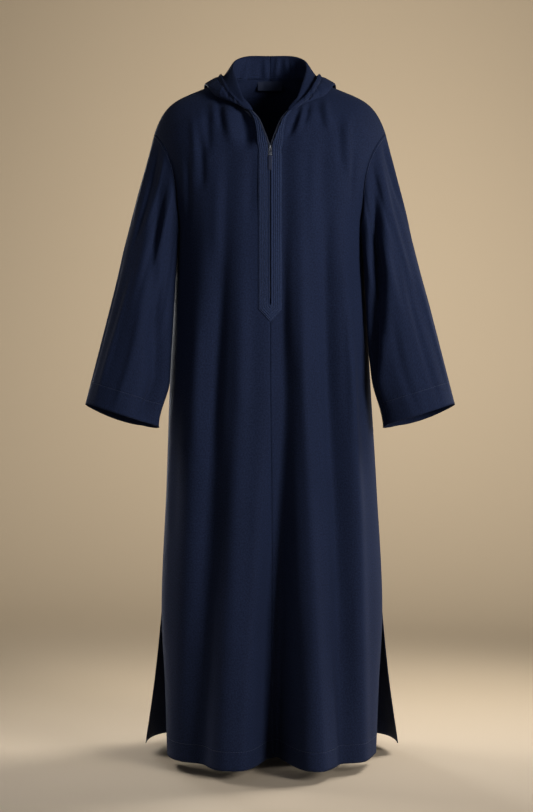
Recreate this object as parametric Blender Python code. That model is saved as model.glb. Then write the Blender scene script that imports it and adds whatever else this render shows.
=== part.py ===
"""A men's hooded djellaba in navy wool, worn open at the neck and filled out with no wearer.

Metres, +Z up. +X is the wearer's left side, -Y is the front. The origin is the middle of the neck, at the
height of the shoulder seams' neck ends, where the wearer's shoulders hold the robe.
"""

import math

import bmesh
import bpy
from mathutils import Matrix, Vector
from mathutils.kdtree import KDTree

# Driving sizes
ROBE_LENGTH = 1.395          # neck end of the shoulder seam down to the hem
UNDERARM = -0.310            # height where the side seams end under the arms
SLIT_TOP = -1.1025           # height where the side slits begin
WALL = 0.0016                # one layer of the wool
GAP = 0.0003                 # between pieces that are sewn together
SEAM = GAP / 2
HEM = -ROBE_LENGTH
LEFT, RIGHT = 1, -1

# Neck, V opening and zip
HIGH_SHOULDER = Vector((0.088, 0.005, 0.0))
SHOULDER_TIP = Vector((0.2405, 0.0, -0.114))
SHOULDER_SLOPE = 0.52        # share of the shoulder's drop that is straight
SHOULDER_TURN = 7.5          # how suddenly it turns down over the upper arm
ZIP_END = -0.4645
PLACKET_CORNER = -0.487
PLACKET_TIP = -0.5126
PLACKET_HALF = 0.0235        # half its width
PLACKET_THICK = 0.0010
RIB_RISE = 0.0004
RIBS = 4                     # stitched ribs on each side of the zip
SLOT_HALF = 0.0012           # half the slot that shows the closed zip
ZIP_SEAT = 0.0045            # the fronts are cut back this far beside the zip
TAPE_THICK = 0.0008
TAPE_WIDTH = 0.012


def table(columns, *rows):
    """Rows of a table as dictionaries, keyed by the names of its columns."""
    names = columns.split()
    return [dict(zip(names, row)) for row in rows]


def read(rows, column, at):
    """The smooth value of a column at a place in the table's first column, which rises."""
    key = next(iter(rows[0]))
    at = min(max(at, rows[0][key]), rows[-1][key])
    i = max(k for k in range(len(rows) - 1) if k == 0 or rows[k][key] <= at)
    steps = [b[key] - a[key] for a, b in zip(rows, rows[1:])]
    rises = [(b[column] - a[column]) / s for a, b, s in zip(rows, rows[1:], steps)]

    def slope(k):
        if k == 0 or k == len(rows) - 1:
            return rises[min(k, len(rises) - 1)]
        before, after = rises[k - 1], rises[k]
        if before * after <= 0:
            return 0.0
        return (before * steps[k] + after * steps[k - 1]) / (steps[k] + steps[k - 1])

    t = (at - rows[i][key]) / steps[i]
    a, b = rows[i][column], rows[i + 1][column]
    return ((1 + 2 * t) * (1 - t) ** 2 * a + t * (1 - t) ** 2 * steps[i] * slope(i)
            + t * t * (3 - 2 * t) * b + t * t * (t - 1) * steps[i] * slope(i + 1))


def ease(t):
    t = min(max(t, 0.0), 1.0)
    return t * t * (3 - 2 * t)


# The tube of the body, from the hem up: half widths and depths of the front and the back, the depth of
# each panel's side edge, and how far the whole robe sways to the wearer's left
SECTIONS = table(
    "height  front_half back_half front_edge back_edge front_depth back_depth front_square back_square sway",
    (HEM,       0.2155,   0.268,   -0.022,    0.060,     0.197,      0.243,       2.0,     2.7,     0.004),
    (-1.255,    0.2215,   0.2465,  -0.011,    0.026,     0.184,      0.215,       2.0,     2.6,     0.004),
    (SLIT_TOP,  0.2295,   0.2295,   0.0,      0.0,       0.170,      0.188,       2.1,     2.5,     0.004),
    (-0.850,    0.2185,   0.2185,   0.0,      0.0,       0.152,      0.155,       2.2,     2.4,     0.003),
    (-0.580,    0.2055,   0.2055,   0.0,      0.0,       0.141,      0.132,       2.4,     2.4,     0.0),
    (UNDERARM,  0.1890,   0.1890,   0.0,      0.0,       0.135,      0.120,       2.5,     2.4,     0.0),
)
SEAM_TURNS = table(              # the side seam, in degrees round from the centre front
    "height    turn",
    (SLIT_TOP, 90),
    (UNDERARM, 87),
)

# Edge of the fronts from the centre front up the V and the neck, over the shoulder and down the centre
# back. Station 0 is the underarm level in front, 1 the shoulder seam, 2 the underarm level behind.
V_FOOT, V_CUT, NECK_JOIN, NECK_BACK = 0.34, 0.42, 0.70, 1.34
NECK_EDGE = table(
    "station     x       y       z",
    (0.0,       0.0,   -0.135,  UNDERARM),
    (0.17,      0.0,   -0.133,  -0.232),
    (V_FOOT,    0.0,   -0.1262, -0.1655),
    (V_CUT,     0.0055, -0.1238, -0.1430),
    (0.50,      0.0115, -0.118, -0.1270),
    (0.57,      0.0205, -0.111, -0.1040),
    (0.64,      0.0325, -0.102, -0.0870),
    (NECK_JOIN, 0.0445, -0.093, -0.0747),
    (0.80,      0.0680, -0.062, -0.0460),
    (0.90,      0.0820, -0.030, -0.0180),
    (1.00,      0.0880, 0.005,  0.0),
    (1.12,      0.0800, 0.042,  0.0100),
    (1.23,      0.0480, 0.066,  0.0140),
    (NECK_BACK, 0.0,    0.075,  0.0150),
    (1.48,      0.0,    0.093,  -0.0550),
    (1.70,      0.0,    0.112,  -0.1600),
    (2.00,      0.0,    0.120,  UNDERARM),
)

# Folds that hang from the chest and the shoulder blades: x at the chest, half way and at the hem
FOLDS = {
    "front": table(
        "x_top    x_mid    x_hem   width_top width_hem rise_mid rise_hem flat",
        (-0.112,  -0.159,  -0.190,  0.022,    0.030,    0.007,   0.004,   2),
        (-0.078,  -0.1135, -0.150,  0.018,    0.034,   -0.006,  -0.010,   2),
        (-0.060,  -0.066,  -0.092,  0.022,    0.045,    0.006,   0.010,   2),
        (0.034,   0.010,   0.006,   0.018,    0.045,   -0.008,  -0.116,   4),
        (0.050,   0.064,   0.084,   0.020,    0.040,    0.008,   0.010,   2),
        (0.106,   0.1275,  0.158,   0.018,    0.032,   -0.007,  -0.006,   2),
        (0.126,   0.159,   0.195,   0.018,    0.030,    0.007,  -0.006,   2),
    ),
    "back": table(
        "x_top    x_mid    x_hem   width_top width_hem rise_mid rise_hem flat",
        (-0.150,  -0.165,  -0.195,  0.025,    0.040,   -0.006,  -0.022,   2),
        (-0.095,  -0.110,  -0.120,  0.025,    0.045,    0.007,   0.018,   2),
        (-0.020,  -0.010,  0.010,   0.030,    0.050,   -0.008,  -0.045,   2),
        (0.080,   0.105,   0.130,   0.025,    0.045,    0.007,   0.018,   2),
        (0.145,   0.165,   0.205,   0.025,    0.040,   -0.006,  -0.020,   2),
    ),
}
FOLD_TOP, FOLD_MID = -0.16, -0.67
SMOOTH_SIDE = 0.12           # the folds die out over this share of a panel beside the side seam


def fold_rise(panel, x, z):
    """How far the folds lift the cloth outwards at x and z; negative in a valley."""
    total = 0.0
    for fold in FOLDS[panel]:
        if z > FOLD_MID:
            grown = ease((FOLD_TOP - z) / (FOLD_TOP - FOLD_MID))
            share = (FOLD_TOP - z) / (FOLD_TOP - FOLD_MID)
            centre = fold["x_top"] + (fold["x_mid"] - fold["x_top"]) * max(share, 0.0)
            rise = fold["rise_mid"] * grown
            width, flat = fold["width_top"], 2
        else:
            share = (FOLD_MID - z) / (FOLD_MID - HEM)
            centre = fold["x_mid"] + (fold["x_hem"] - fold["x_mid"]) * share
            rise = fold["rise_mid"] + (fold["rise_hem"] - fold["rise_mid"]) * share ** 1.4
            width = fold["width_top"] + (fold["width_hem"] - fold["width_top"]) * share
            flat = 2 + (fold["flat"] - 2) * share
        total += rise * math.exp(-abs((x - centre) / width) ** flat)
    return total


def tube_point(panel, side, s, z):
    """A point of the body below the arms. s runs from the centre front or back (0) to the side seam (1)."""
    seam = read(SEAM_TURNS, "turn", z)
    turned = math.radians(s * (seam if panel == "front" else 180 - seam))
    faces_front = panel == "front" or turned > math.pi / 2
    half = read(SECTIONS, panel + "_half", z)
    edge = read(SECTIONS, panel + "_edge", z)
    square = read(SECTIONS, "front_square" if faces_front else "back_square", z)
    depth = read(SECTIONS, "front_depth" if faces_front else "back_depth", z)
    across = math.sin(turned)
    along = max(1 - abs(across) ** square, 0.0) ** (1 / square)
    x = side * half * across
    y = edge - (depth + edge) * along if faces_front else edge + (depth - edge) * along
    normal = Vector((side * abs(across) ** (square - 1) / half,
                     (-1 if faces_front else 1) * along ** (square - 1) / depth, 0)).normalized()
    folded = fold_rise(panel, x, z) * ease((1 - s) / SMOOTH_SIDE)
    return Vector((x + read(SECTIONS, "sway", z), y, z)) + normal * folded


UNDERARM_SEAM = tube_point("front", LEFT, 1, UNDERARM)


def armhole(side, turn):
    """The seam that joins a sleeve to the body. turn is 0 on the shoulder and grows towards the front."""
    middle = (SHOULDER_TIP.z + UNDERARM) / 2
    reach = (SHOULDER_TIP.z - UNDERARM) / 2
    inner = UNDERARM_SEAM.x
    x = inner + (SHOULDER_TIP.x - inner) * ((1 + math.cos(turn)) / 2) ** 3.3
    depth = 0.070 if math.sin(turn) > 0 else 0.075
    y = -depth * math.sin(turn) + UNDERARM_SEAM.y * ((1 - math.cos(turn)) / 2) ** 4
    return Vector((side * x, y, middle + reach * math.cos(turn)))


def shoulder_line(side, s):
    """The shoulder seam, from the neck (0) to the armhole (1)."""
    share = (s + math.sin(math.pi * s / 2)) / 2
    bend = math.copysign(abs(share) ** SHOULDER_TURN, share)
    drop = SHOULDER_SLOPE * share + (1 - SHOULDER_SLOPE) * bend
    across = HIGH_SHOULDER.x + (SHOULDER_TIP.x - HIGH_SHOULDER.x) * share
    return Vector((side * across, HIGH_SHOULDER.y * (1 - share), SHOULDER_TIP.z * drop))


def neck_edge(side, station):
    return Vector((side * read(NECK_EDGE, "x", station), read(NECK_EDGE, "y", station),
                   read(NECK_EDGE, "z", station)))


def span(inner, outer, s):
    """Straight from inner to outer, but level at the centre line in depth."""
    return Vector((inner.x + (outer.x - inner.x) * s, inner.y + (outer.y - inner.y) * s * s,
                   inner.z + (outer.z - inner.z) * s))


def yoke_point(side, s, station):
    """A point of the chest, shoulder or upper back, between the neck edge and the armhole."""
    def strip(at):
        return span(neck_edge(side, at), armhole(side, math.pi * (1 - at)), s)
    panel, low = ("front", 0.0) if station <= 1 else ("back", 2.0)
    chest = tube_point(panel, side, s, UNDERARM) - strip(low)
    crest = shoulder_line(side, s) - strip(1.0)
    risen = math.sin(math.pi * station / 2) ** 2
    return strip(station) + chest * (1 - risen) + crest * risen


def body_point(panel, side, s, up):
    """up is the distance below the underarm level while negative, then the station up to the shoulder at 1."""
    if up <= 0:
        return tube_point(panel, side, s, UNDERARM + up)
    return yoke_point(side, s, up if panel == "front" else 2 - up)


def body_normal(panel, side, s, up):
    step = 0.002
    across = body_point(panel, side, s + step, up) - body_point(panel, side, s - step, up)
    if up > 1 - step:
        station = 1.0
        along = yoke_point(side, s, station - step) - yoke_point(side, s, station + step)
        along = -along if panel == "front" else along
    else:
        along = body_point(panel, side, s, up + step) - body_point(panel, side, s, up - step)
    normal = across.cross(along).normalized()
    return normal if (panel == "front") == (side == LEFT) else -normal


def share_for(panel, side, up, distance):
    """The s that lies a distance from the centre line or the neck edge."""
    probe = 0.04
    reach = (body_point(panel, side, probe, up) - body_point(panel, side, 0, up)).length
    return probe * distance / reach


def sample_body():
    """Points and normals all over the chest, shoulders and upper back, with a tree to look them up."""
    samples = []
    for side in (LEFT, RIGHT):
        for i in range(-20, 81):
            panel, up = ("front", i / 40) if i <= 40 else ("back", 2 - i / 40)
            for j in range(27):
                s = max(j / 26, 0.001)
                samples.append((body_point(panel, side, s, up), body_normal(panel, side, s, up)))
    tree = KDTree(len(samples))
    for i, (point, _) in enumerate(samples):
        tree.insert(point, i)
    tree.balance()
    return samples, tree


BODY = sample_body()


def lift_off(point, clear):
    """Moves a point out to at least a clearance from the body."""
    samples, tree = BODY
    _, i, _ = tree.find(point)
    near, normal = samples[i]
    short = clear - (point - near).dot(normal)
    return point + normal * short if short > 0 else point


def wall_shell(name, patches, material, collection):
    """A closed piece from patches of (outer point, inner point). Equal outer points are one corner.

    Both faces of the wall are split along the same diagonals, so that it stays as thick between its corners.
    """
    mesh = bmesh.new()
    corners = {}

    def corner(outer, inner):
        key = tuple(round(c, 6) for c in outer)
        if key not in corners:
            corners[key] = (mesh.verts.new(outer), mesh.verts.new(inner))
        return corners[key]

    outer_faces = []
    for patch in patches:
        grid = [[corner(*pair) for pair in row] for row in patch]
        for low, high in zip(grid, grid[1:]):
            for a, b, c, d in zip(low, low[1:], high[1:], high):
                for three in ((a, b, c), (a, c, d)):
                    outer_faces.append(mesh.faces.new([v[0] for v in three]))
                    mesh.faces.new([v[1] for v in reversed(three)])
    twin = {outer: inner for outer, inner in corners.values()}
    rim = [e for f in outer_faces for e in f.edges if len(e.link_faces) == 1]
    for edge in rim:
        a, b = edge.verts
        mesh.faces.new([a, b, twin[b], twin[a]])
    bmesh.ops.recalc_face_normals(mesh, faces=mesh.faces)
    return add_piece(name, mesh, material, collection)


def add_piece(name, mesh, material, collection, smooth=True):
    data = bpy.data.meshes.new(name)
    mesh.to_mesh(data)
    mesh.free()
    if smooth:
        data.shade_smooth()
        data.set_sharp_from_angle(angle=math.radians(50))
    data.materials.append(material)
    piece = bpy.data.objects.new(name, data)
    collection.objects.link(piece)
    return piece


def make_material(name, colour, roughness, metallic=0.0):
    material = bpy.data.materials.new(name)
    material.use_nodes = True
    shader = material.node_tree.nodes["Principled BSDF"]
    shader.inputs["Base Color"].default_value = (*colour, 1)
    shader.inputs["Roughness"].default_value = roughness
    shader.inputs["Metallic"].default_value = metallic
    return material


# Rows of the panels, from the hem up. The front's rows meet the placket's corners and the zip's ends.
LOW_ROWS = [HEM, -1.330, -1.255, -1.180, SLIT_TOP, -1.010, -0.910, -0.810, -0.710, -0.610,
            PLACKET_TIP, PLACKET_CORNER, ZIP_END, ZIP_END + 0.004, -0.410, -0.360, UNDERARM]
FRONT_UPS = ([z - UNDERARM for z in LOW_ROWS]
             + [0.10, 0.20, 0.27, 0.31, V_FOOT, V_CUT, 0.50, 0.57, 0.64, NECK_JOIN, 0.77, 0.84, 0.90, 0.96])
SLIDER_ROW = 0.31              # the placket's slot is wider from here up, for the slider
BACK_UPS = ([z - UNDERARM for z in LOW_ROWS]
            + [0.15, 0.30, 0.42, 0.54, 2 - NECK_BACK, 0.74, 0.82, 0.90, 0.96])
SHOULDER_UP = 0.9995          # leaves the seam's gap to the other panel
SIDE_SHARE = 0.9995
FRONT_COLUMNS = 15
BACK_COLUMNS = 12


def beside_zip(up):
    return ZIP_END - UNDERARM + 0.001 < up < NECK_JOIN + 0.001


def strip_width(up):
    """Distance of the placket's outer edge from the centre line or the V."""
    return PLACKET_HALF - 0.0175 * ease((up - V_FOOT) / (NECK_JOIN - V_FOOT))


def front_shares(side, up):
    """s of each column in a row of a front: its edge, the placket's outer edge, then even steps."""
    first = share_for("front", side, up, ZIP_SEAT if beside_zip(up) else SEAM)
    second = share_for("front", side, up, strip_width(min(up, NECK_JOIN)) + 0.001)
    steps = FRONT_COLUMNS - 2
    rest = [second + (SIDE_SHARE - second) * k / steps for k in range(1, steps + 1)]
    return [first, second] + rest


def panel_pair(panel, side, s, up):
    point = body_point(panel, side, s, up)
    normal = body_normal(panel, side, s, up)
    if up > 0 and s >= SIDE_SHARE:
        _, shared, sharp = seam_frame(side, math.pi * (1 - (up if panel == "front" else 2 - up)))
        normal = seam_normal(normal, shared, sharp)
    return point, point - normal * WALL


def make_fronts(wool, collection):
    for name, side in (("front_left", LEFT), ("front_right", RIGHT)):
        rows = [[panel_pair("front", side, s, up) for s in front_shares(side, up)]
                for up in FRONT_UPS + [SHOULDER_UP]]
        wall_shell(name, [rows], wool, collection)


def make_back(wool, collection):
    halves = []
    for side in (LEFT, RIGHT):
        rows = []
        for up in BACK_UPS + [SHOULDER_UP]:
            first = share_for("back", side, up, SEAM) if up > 2 - NECK_BACK + 0.001 else 0
            rows.append([panel_pair("back", side, first + (SIDE_SHARE - first) * k / BACK_COLUMNS, up)
                         for k in range(BACK_COLUMNS + 1)])
        halves.append(rows)
    wall_shell("back", halves, wool, collection)


# Sleeves: straight from the armhole to the cuff, carried a little forward
CUFF_CENTRE = Vector((0.301, -0.070, -0.700))
CUFF_ACROSS = Vector((0.0755, 0.0, 0.0231))     # from the centre to the outer corner
CUFF_DEPTH = 0.052
CUFF_TILT = 0.0078                              # the front of the cuff is this much higher
CUFF_SAG = 0.0052
SLEEVE_FOLDS = table(
    "turn   drift  width  rise  start  end",
    (1.55,  0.10,  0.30,  0.005, 0.12, 0.9),
    (0.85, -0.10,  0.22, -0.004, 0.02, 0.6),
    (-1.40, 0.15,  0.35,  0.006, 0.05, 0.9),
    (-2.20, 0.05,  0.28, -0.007, 0.08, 1.0),
)
SLEEVE_CLEAR = 0.0115                           # the underside of the sleeve hangs this far off the body
HUG, HUG_GROWTH = 0.014, 0.0175                 # its lower front is carried in over the body's side
HUG_TURN, HUG_WIDTH, HUG_END = 2.5, 0.77, 0.22
SLEEVE_ROWS = [0, 0.035, 0.08, 0.14, 0.22, 0.31, 0.41, 0.52, 0.63, 0.74, 0.84, 0.93, 1.0]
SLEEVE_TURNS = ([math.pi * (1 - up) for up in [0] + [u for u in FRONT_UPS if u > 0.001] + [1]]
                + [-math.pi * (1 - up) for up in reversed([u for u in BACK_UPS if u > 0.001])])


def cuff(side, turn):
    deep = math.copysign(abs(math.sin(turn)) ** 1.25, math.sin(turn))
    point = CUFF_CENTRE + CUFF_ACROSS * math.cos(turn)
    point += Vector((0, -CUFF_DEPTH * deep, CUFF_TILT * math.sin(turn) - CUFF_SAG * math.sin(turn) ** 2))
    return Vector((side * point.x, point.y, point.z))


def seam_frame(side, turn):
    """At the armhole: the way from the body into the sleeve, and the normal that both pieces share."""
    step = 0.01
    round_seam = (armhole(side, turn + step) - armhole(side, turn - step)).normalized()
    panel, up = ("front", 1 - turn / math.pi) if turn >= 0 else ("back", 1 + turn / math.pi)
    down_sleeve = sleeve_normal(side, turn, 0).cross(round_seam) * side
    out_of_body = body_normal(panel, side, 1, max(up, 0.004)).cross(round_seam) * side
    away = (down_sleeve.normalized() + out_of_body.normalized()).normalized()
    sharp = ease((0.4 - down_sleeve.dot(out_of_body)) / 0.7)
    return away, (round_seam.cross(away) * side).normalized(), sharp


def seam_normal(own, shared, sharp):
    """Where the seam folds sharply, under the arm, each piece keeps its own normal."""
    return shared.lerp(own, sharp).normalized()


def sleeve_point(side, turn, down):
    """down is 0 at the armhole and 1 at the cuff."""
    start = armhole(side, turn)
    end = cuff(side, turn)
    middle = start.lerp(end, down)
    hub = armhole_hub(side).lerp(Vector((side * CUFF_CENTRE.x, CUFF_CENTRE.y, CUFF_CENTRE.z)), down)
    outward = (middle - hub).normalized()
    rise = 0.0
    for fold in SLEEVE_FOLDS:
        off = (turn - fold["turn"] - fold["drift"] * down + math.pi) % (2 * math.pi) - math.pi
        grown = ease((down - fold["start"]) / 0.25) * ease((fold["end"] + 0.25 - down) / 0.3)
        rise += fold["rise"] * grown * math.exp(-(off / fold["width"]) ** 2)
    under = ((1 - math.cos(turn)) / 2) ** 2
    clear = SLEEVE_CLEAR * under * ease(down / 0.06) * (1 - down) ** 0.5
    off = (turn - HUG_TURN + math.pi) % (2 * math.pi) - math.pi
    hug = (HUG * ease(down / 0.1) + HUG_GROWTH * down) * math.exp(-(off / HUG_WIDTH) ** 2)
    hug *= ease((1 - down) / HUG_END)
    return middle + outward * rise + Vector((side * (clear - hug), 0, 0))


def armhole_hub(side):
    return Vector((side * 0.200, -0.005, (SHOULDER_TIP.z + UNDERARM) / 2))


def sleeve_normal(side, turn, down):
    step = 0.005
    round_sleeve = sleeve_point(side, turn + step, down) - sleeve_point(side, turn - step, down)
    along = sleeve_point(side, turn, min(down + step, 1)) - sleeve_point(side, turn, max(down - step, 0))
    return (round_sleeve.cross(along) * side).normalized()


def sleeve_pair(side, turn, down):
    normal = sleeve_normal(side, turn, down)
    point = sleeve_point(side, turn, down)
    if down == 0:
        away, shared, sharp = seam_frame(side, turn)
        normal = seam_normal(normal, shared, sharp)
        point = armhole(side, turn) + away * GAP
    return point, point - normal * WALL


def make_sleeves(wool, collection):
    for name, side in (("sleeve_left", LEFT), ("sleeve_right", RIGHT)):
        rows = []
        for down in SLEEVE_ROWS:
            row = [sleeve_pair(side, turn, down) for turn in SLEEVE_TURNS]
            rows.append(row + row[:1])
        wall_shell(name, [rows], wool, collection)


# Hood: each half is swept from the top of the zip (0) round the neck to the centre back (1). A section
# stands up from the neck seam, rolls over, goes down to the bag's fold and comes back up to the mouth.
# Its outer layer bulges by the share "full" of its depth, and lies at least "outer" clear of the body at
# the bag's fold and "top" at the mouth.
HOOD = table(
    "place roll_x  roll_y  roll_z  tuck_x  tuck_y  tuck_z  fold_x  fold_y  fold_z   rim_x   rim_y   rim_z full outer top",
    (0.0,  0.0485, -0.0880, -0.0630, 0.0565, -0.0950, -0.0660, 0.0600, -0.0985, -0.0740, 0.0545, -0.1010, -0.0690, 0.10, 0.0102, 0.0132),
    (0.20, 0.0570, -0.0770, -0.0500, 0.0660, -0.0820, -0.0560, 0.0850, -0.0850, -0.0620, 0.0760, -0.0860, -0.0500, 0.10, 0.0146, 0.0188),
    (0.38, 0.0680, -0.0400, -0.0120, 0.0830, -0.0480, -0.0230, 0.1130, -0.0580, -0.0450, 0.0930, -0.0560, -0.0270, 0.08, 0.017, 0.022),
    (0.55, 0.0745, 0.0050,  0.0250,  0.0965, 0.0020,  0.0020,  0.1290, -0.0120, -0.0200, 0.1055, -0.0180, 0.0020, 0.03, 0.012, 0.014),
    (0.70, 0.0680, 0.0480,  0.0510,  0.0915, 0.0600,  0.0140,  0.1225, 0.0720,  -0.0600, 0.1025, 0.0560,  0.0215, 0.03, 0.012, 0.014),
    (0.85, 0.0400, 0.0780,  0.0640,  0.0560, 0.1000,  0.0300,  0.0760, 0.1300,  -0.2000, 0.0660, 0.1220,  0.0240, 0.10, 0.017, 0.022),
    (1.0,  0.0,    0.0860,  0.0660,  0.0,    0.1100,  0.0300,  0.0,    0.1500,  -0.3250, 0.0,    0.1480,  0.0160, 0.10, 0.017, 0.022),
)
HOOD_COLUMNS = [0, 0.09, 0.18, 0.27, 0.36, 0.44, 0.50, 0.55, 0.60, 0.64, 0.68, 0.72, 0.76, 0.81, 0.87, 0.94, 1.0]
HOOD_ROWS = 17
HOOD_CLEAR = 0.0040            # the hood's underside over the body
FOLD_TURN = 0.0055             # radius of the fold at the bottom of the bag
TUCK_CLEAR, FOLD_CLEAR = 0.006, 0.007      # the inner layers over the body, less towards the flaps' tips


def hood_station(place):
    """Where the hood's place round the neck lies on the neck edge."""
    if place < 0.55:
        return NECK_JOIN + (1 - NECK_JOIN) * place / 0.55
    return 1 + (NECK_BACK - 1) * (place - 0.55) / 0.45


def spline(points, t):
    """A point of a smooth curve that starts at the first of the points and ends at the last."""
    padded = [points[0]] * 2 + list(points) + [points[-1]] * 2
    spans = len(padded) - 3
    at = min(t * spans, spans - 1e-9)
    i, f = int(at), at - int(at)
    weights = ((1 - f) ** 3, 3 * f ** 3 - 6 * f ** 2 + 4, -3 * f ** 3 + 3 * f ** 2 + 3 * f + 1, f ** 3)
    return sum((padded[i + k] * (w / 6) for k, w in enumerate(weights)), Vector((0, 0, 0)))


def hood_point(side, place, along):
    """along runs from the neck seam (0) over the roll and the bag's fold to the mouth (1)."""
    def mark(name):
        return Vector([read(HOOD, name + axis, place) for axis in ("_x", "_y", "_z")])
    seam = neck_edge(LEFT, hood_station(place)) + Vector((0, 0, 0.0005))
    roll, tuck, fold, rim = mark("roll"), mark("tuck"), mark("fold"), mark("rim")
    away = Vector((fold.x - seam.x, fold.y - seam.y, 0)).normalized()
    upwards = Vector((0, 0, 1))
    deep = (fold - tuck).length
    turn = min(FOLD_TURN, 0.3 * deep)
    bulge = away * deep * read(HOOD, "full", place)
    grown = 0.6 + 0.4 * ease(place / 0.3)
    tuck = lift_off(tuck, TUCK_CLEAR * grown)
    fold = lift_off(fold, FOLD_CLEAR * grown)
    inside = lift_off(fold + (upwards - away) * turn, FOLD_CLEAR * grown)
    outside = lift_off(fold + (upwards + away) * turn, read(HOOD, "outer", place))
    rim = lift_off(rim, read(HOOD, "top", place))
    points = [seam, seam.lerp(roll, 0.5), roll, roll + (tuck - seam) * 0.45 + upwards * 0.001,
              tuck, tuck.lerp(inside, 0.35), tuck.lerp(inside, 0.7), inside,
              fold - upwards * turn * 0.4, outside, outside.lerp(rim, 0.35) + bulge,
              outside.lerp(rim, 0.7) + bulge * 0.8, rim]
    point = spline(points, along)
    return Vector((side * point.x, point.y, point.z))


def hood_pair(side, place, along):
    step = 0.004
    point = hood_point(side, place, along)
    first, last = max(place - step, 0), min(place + step, 1)
    round_neck = hood_point(side, last, along) - hood_point(side, first, along)
    if place == 1:
        round_neck = Vector((-side, 0, 0))
    up_path = hood_point(side, place, min(along + step, 1)) - hood_point(side, place, max(along - step, 0))
    normal = round_neck.cross(up_path).normalized() * side
    if along > 0.05:
        point = lift_off(point, HOOD_CLEAR)
    elif along < 0.01:
        point.z += 0.0006 * math.sin(math.pi * min(place / 0.55, 1))
    if place == 1:
        point.x = side * SEAM
    return point, point - normal * WALL


def make_hood(wool, collection):
    for name, side in (("hood_left", LEFT), ("hood_right", RIGHT)):
        rows = [[hood_pair(side, place, k / HOOD_ROWS) for place in HOOD_COLUMNS]
                for k in range(HOOD_ROWS + 1)]
        wall_shell(name, [rows], wool, collection)


def on_front(side, up, distance):
    """A point and normal of a front's face beside its edge, flat from its first to its second column."""
    first, second = front_shares(side, up)[:2]
    here = body_point("front", side, first, up)
    there = body_point("front", side, second, up)
    normal_here = body_normal("front", side, first, up)
    normal_there = body_normal("front", side, second, up)
    centre = body_point("front", side, 0, up)
    share = (distance - (here - centre).length) / (there - here).length
    point, normal = here.lerp(there, share), normal_here.lerp(normal_there, share)
    normal.x *= ease((up - V_FOOT) / 0.2)
    if up <= V_FOOT:
        point.x = side * distance
    return point, normal.normalized()


def placket_rows():
    return [up for up in FRONT_UPS if PLACKET_TIP - UNDERARM - 0.001 < up < NECK_JOIN + 0.001]


def placket_pair(side, up, distance, rib):
    point, normal = on_front(side, up, distance)
    return point + normal * (GAP + PLACKET_THICK + RIB_RISE * rib), point + normal * GAP


def placket_edges(up):
    """The placket's inner and outer edges, as distances from the centre line or the V."""
    height = UNDERARM + up
    if up <= 0 and height < PLACKET_CORNER - 1e-6:
        return 0.0006, 0.0018
    inner = SLOT_HALF
    if up > SLIDER_ROW - 0.001:
        inner = 0.0042 if up < V_FOOT + 0.001 else 0.0032
    return inner, strip_width(up)


def make_placket(trim, collection):
    patches = []
    for side in (LEFT, RIGHT):
        rows = []
        for up in placket_rows():
            inner, outer = placket_edges(up)
            steps = 2 * RIBS
            rows.append([placket_pair(side, up, inner + (outer - inner) * k / steps, k % 2)
                         for k in range(steps + 1)])
        patches.append(rows)
    closed = [up for up in placket_rows() if up < ZIP_END - UNDERARM + 0.001]
    patches.append([[placket_pair(side, up, placket_edges(up)[0], 0) for side in (RIGHT, LEFT)]
                    for up in closed])
    wall_shell("placket", patches, trim, collection)


def tape_pair(side, up, distance):
    point, normal = on_front(side, up, distance)
    outer = point - normal * (WALL + GAP)
    return outer, outer - normal * TAPE_THICK


def make_zip_tapes(tape, collection):
    rows_up = [up for up in placket_rows() if up > ZIP_END - UNDERARM - 0.001]
    for name, side in (("zip_tape_left", LEFT), ("zip_tape_right", RIGHT)):
        rows = [[tape_pair(side, up, distance) for distance in (SEAM, ZIP_SEAT, TAPE_WIDTH)]
                for up in rows_up]
        wall_shell(name, [rows], tape, collection)


# Slider and pull, in their own axes: x across, y outwards from the face of the tapes, z up the zip
SLIDER_HALF = 0.0036
SLIDER_LOW, SLIDER_HIGH = -0.0025, 0.0090
SLIDER_DROP = 0.0008           # the slider's own zero is this far below the foot of the V
PLATE_FACE = 0.0026
PIVOT = Vector((0, 0.0036, 0.0022))
LINK_WIRE = 0.00055
LINK_HALF = 0.0023
LINK_LENGTH = 0.0135
BAR_HALF, BAR_THICK = 0.0040, 0.0020
TAB_OUT = 0.0050               # the tab's middle in front of the tapes
TAB_LENGTH, TAB_HALF, TAB_THICK = 0.030, 0.0034, 0.0016


def zip_frame():
    """The slider's axes in the robe: at the foot of the V on the face of the tapes, tilted with the chest."""
    below, foot, above = [tape_pair(LEFT, up, SEAM)[0] for up in (SLIDER_ROW, V_FOOT, V_CUT)]
    up_zip = Vector((0, above.y - below.y, above.z - below.z)).normalized()
    outwards = Vector((0, -up_zip.z, up_zip.y))
    frame = Matrix((Vector((-1, 0, 0)), outwards, up_zip)).transposed().to_4x4()
    frame.translation = Vector((0, foot.y, foot.z)) - up_zip * SLIDER_DROP
    return frame


def plate(outline, low, high):
    """A flat plate from an outline in x and z, between two depths."""
    mesh = bmesh.new()
    face = mesh.faces.new([mesh.verts.new((x, low, z)) for x, z in outline])
    grown = bmesh.ops.extrude_face_region(mesh, geom=[face])
    for v in grown["geom"]:
        if isinstance(v, bmesh.types.BMVert):
            v.co.y = high
    bmesh.ops.recalc_face_normals(mesh, faces=mesh.faces)
    return mesh


def rounded(half, low, high, corner, steps=3):
    """A rectangle's outline with round corners."""
    points = []
    for cx, cz, start in ((half - corner, high - corner, 0), (corner - half, high - corner, 90),
                          (corner - half, low + corner, 180), (half - corner, low + corner, 270)):
        for k in range(steps + 1):
            a = math.radians(start + 90 * k / steps)
            points.append((cx + corner * math.cos(a), cz + corner * math.sin(a)))
    return points


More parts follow.
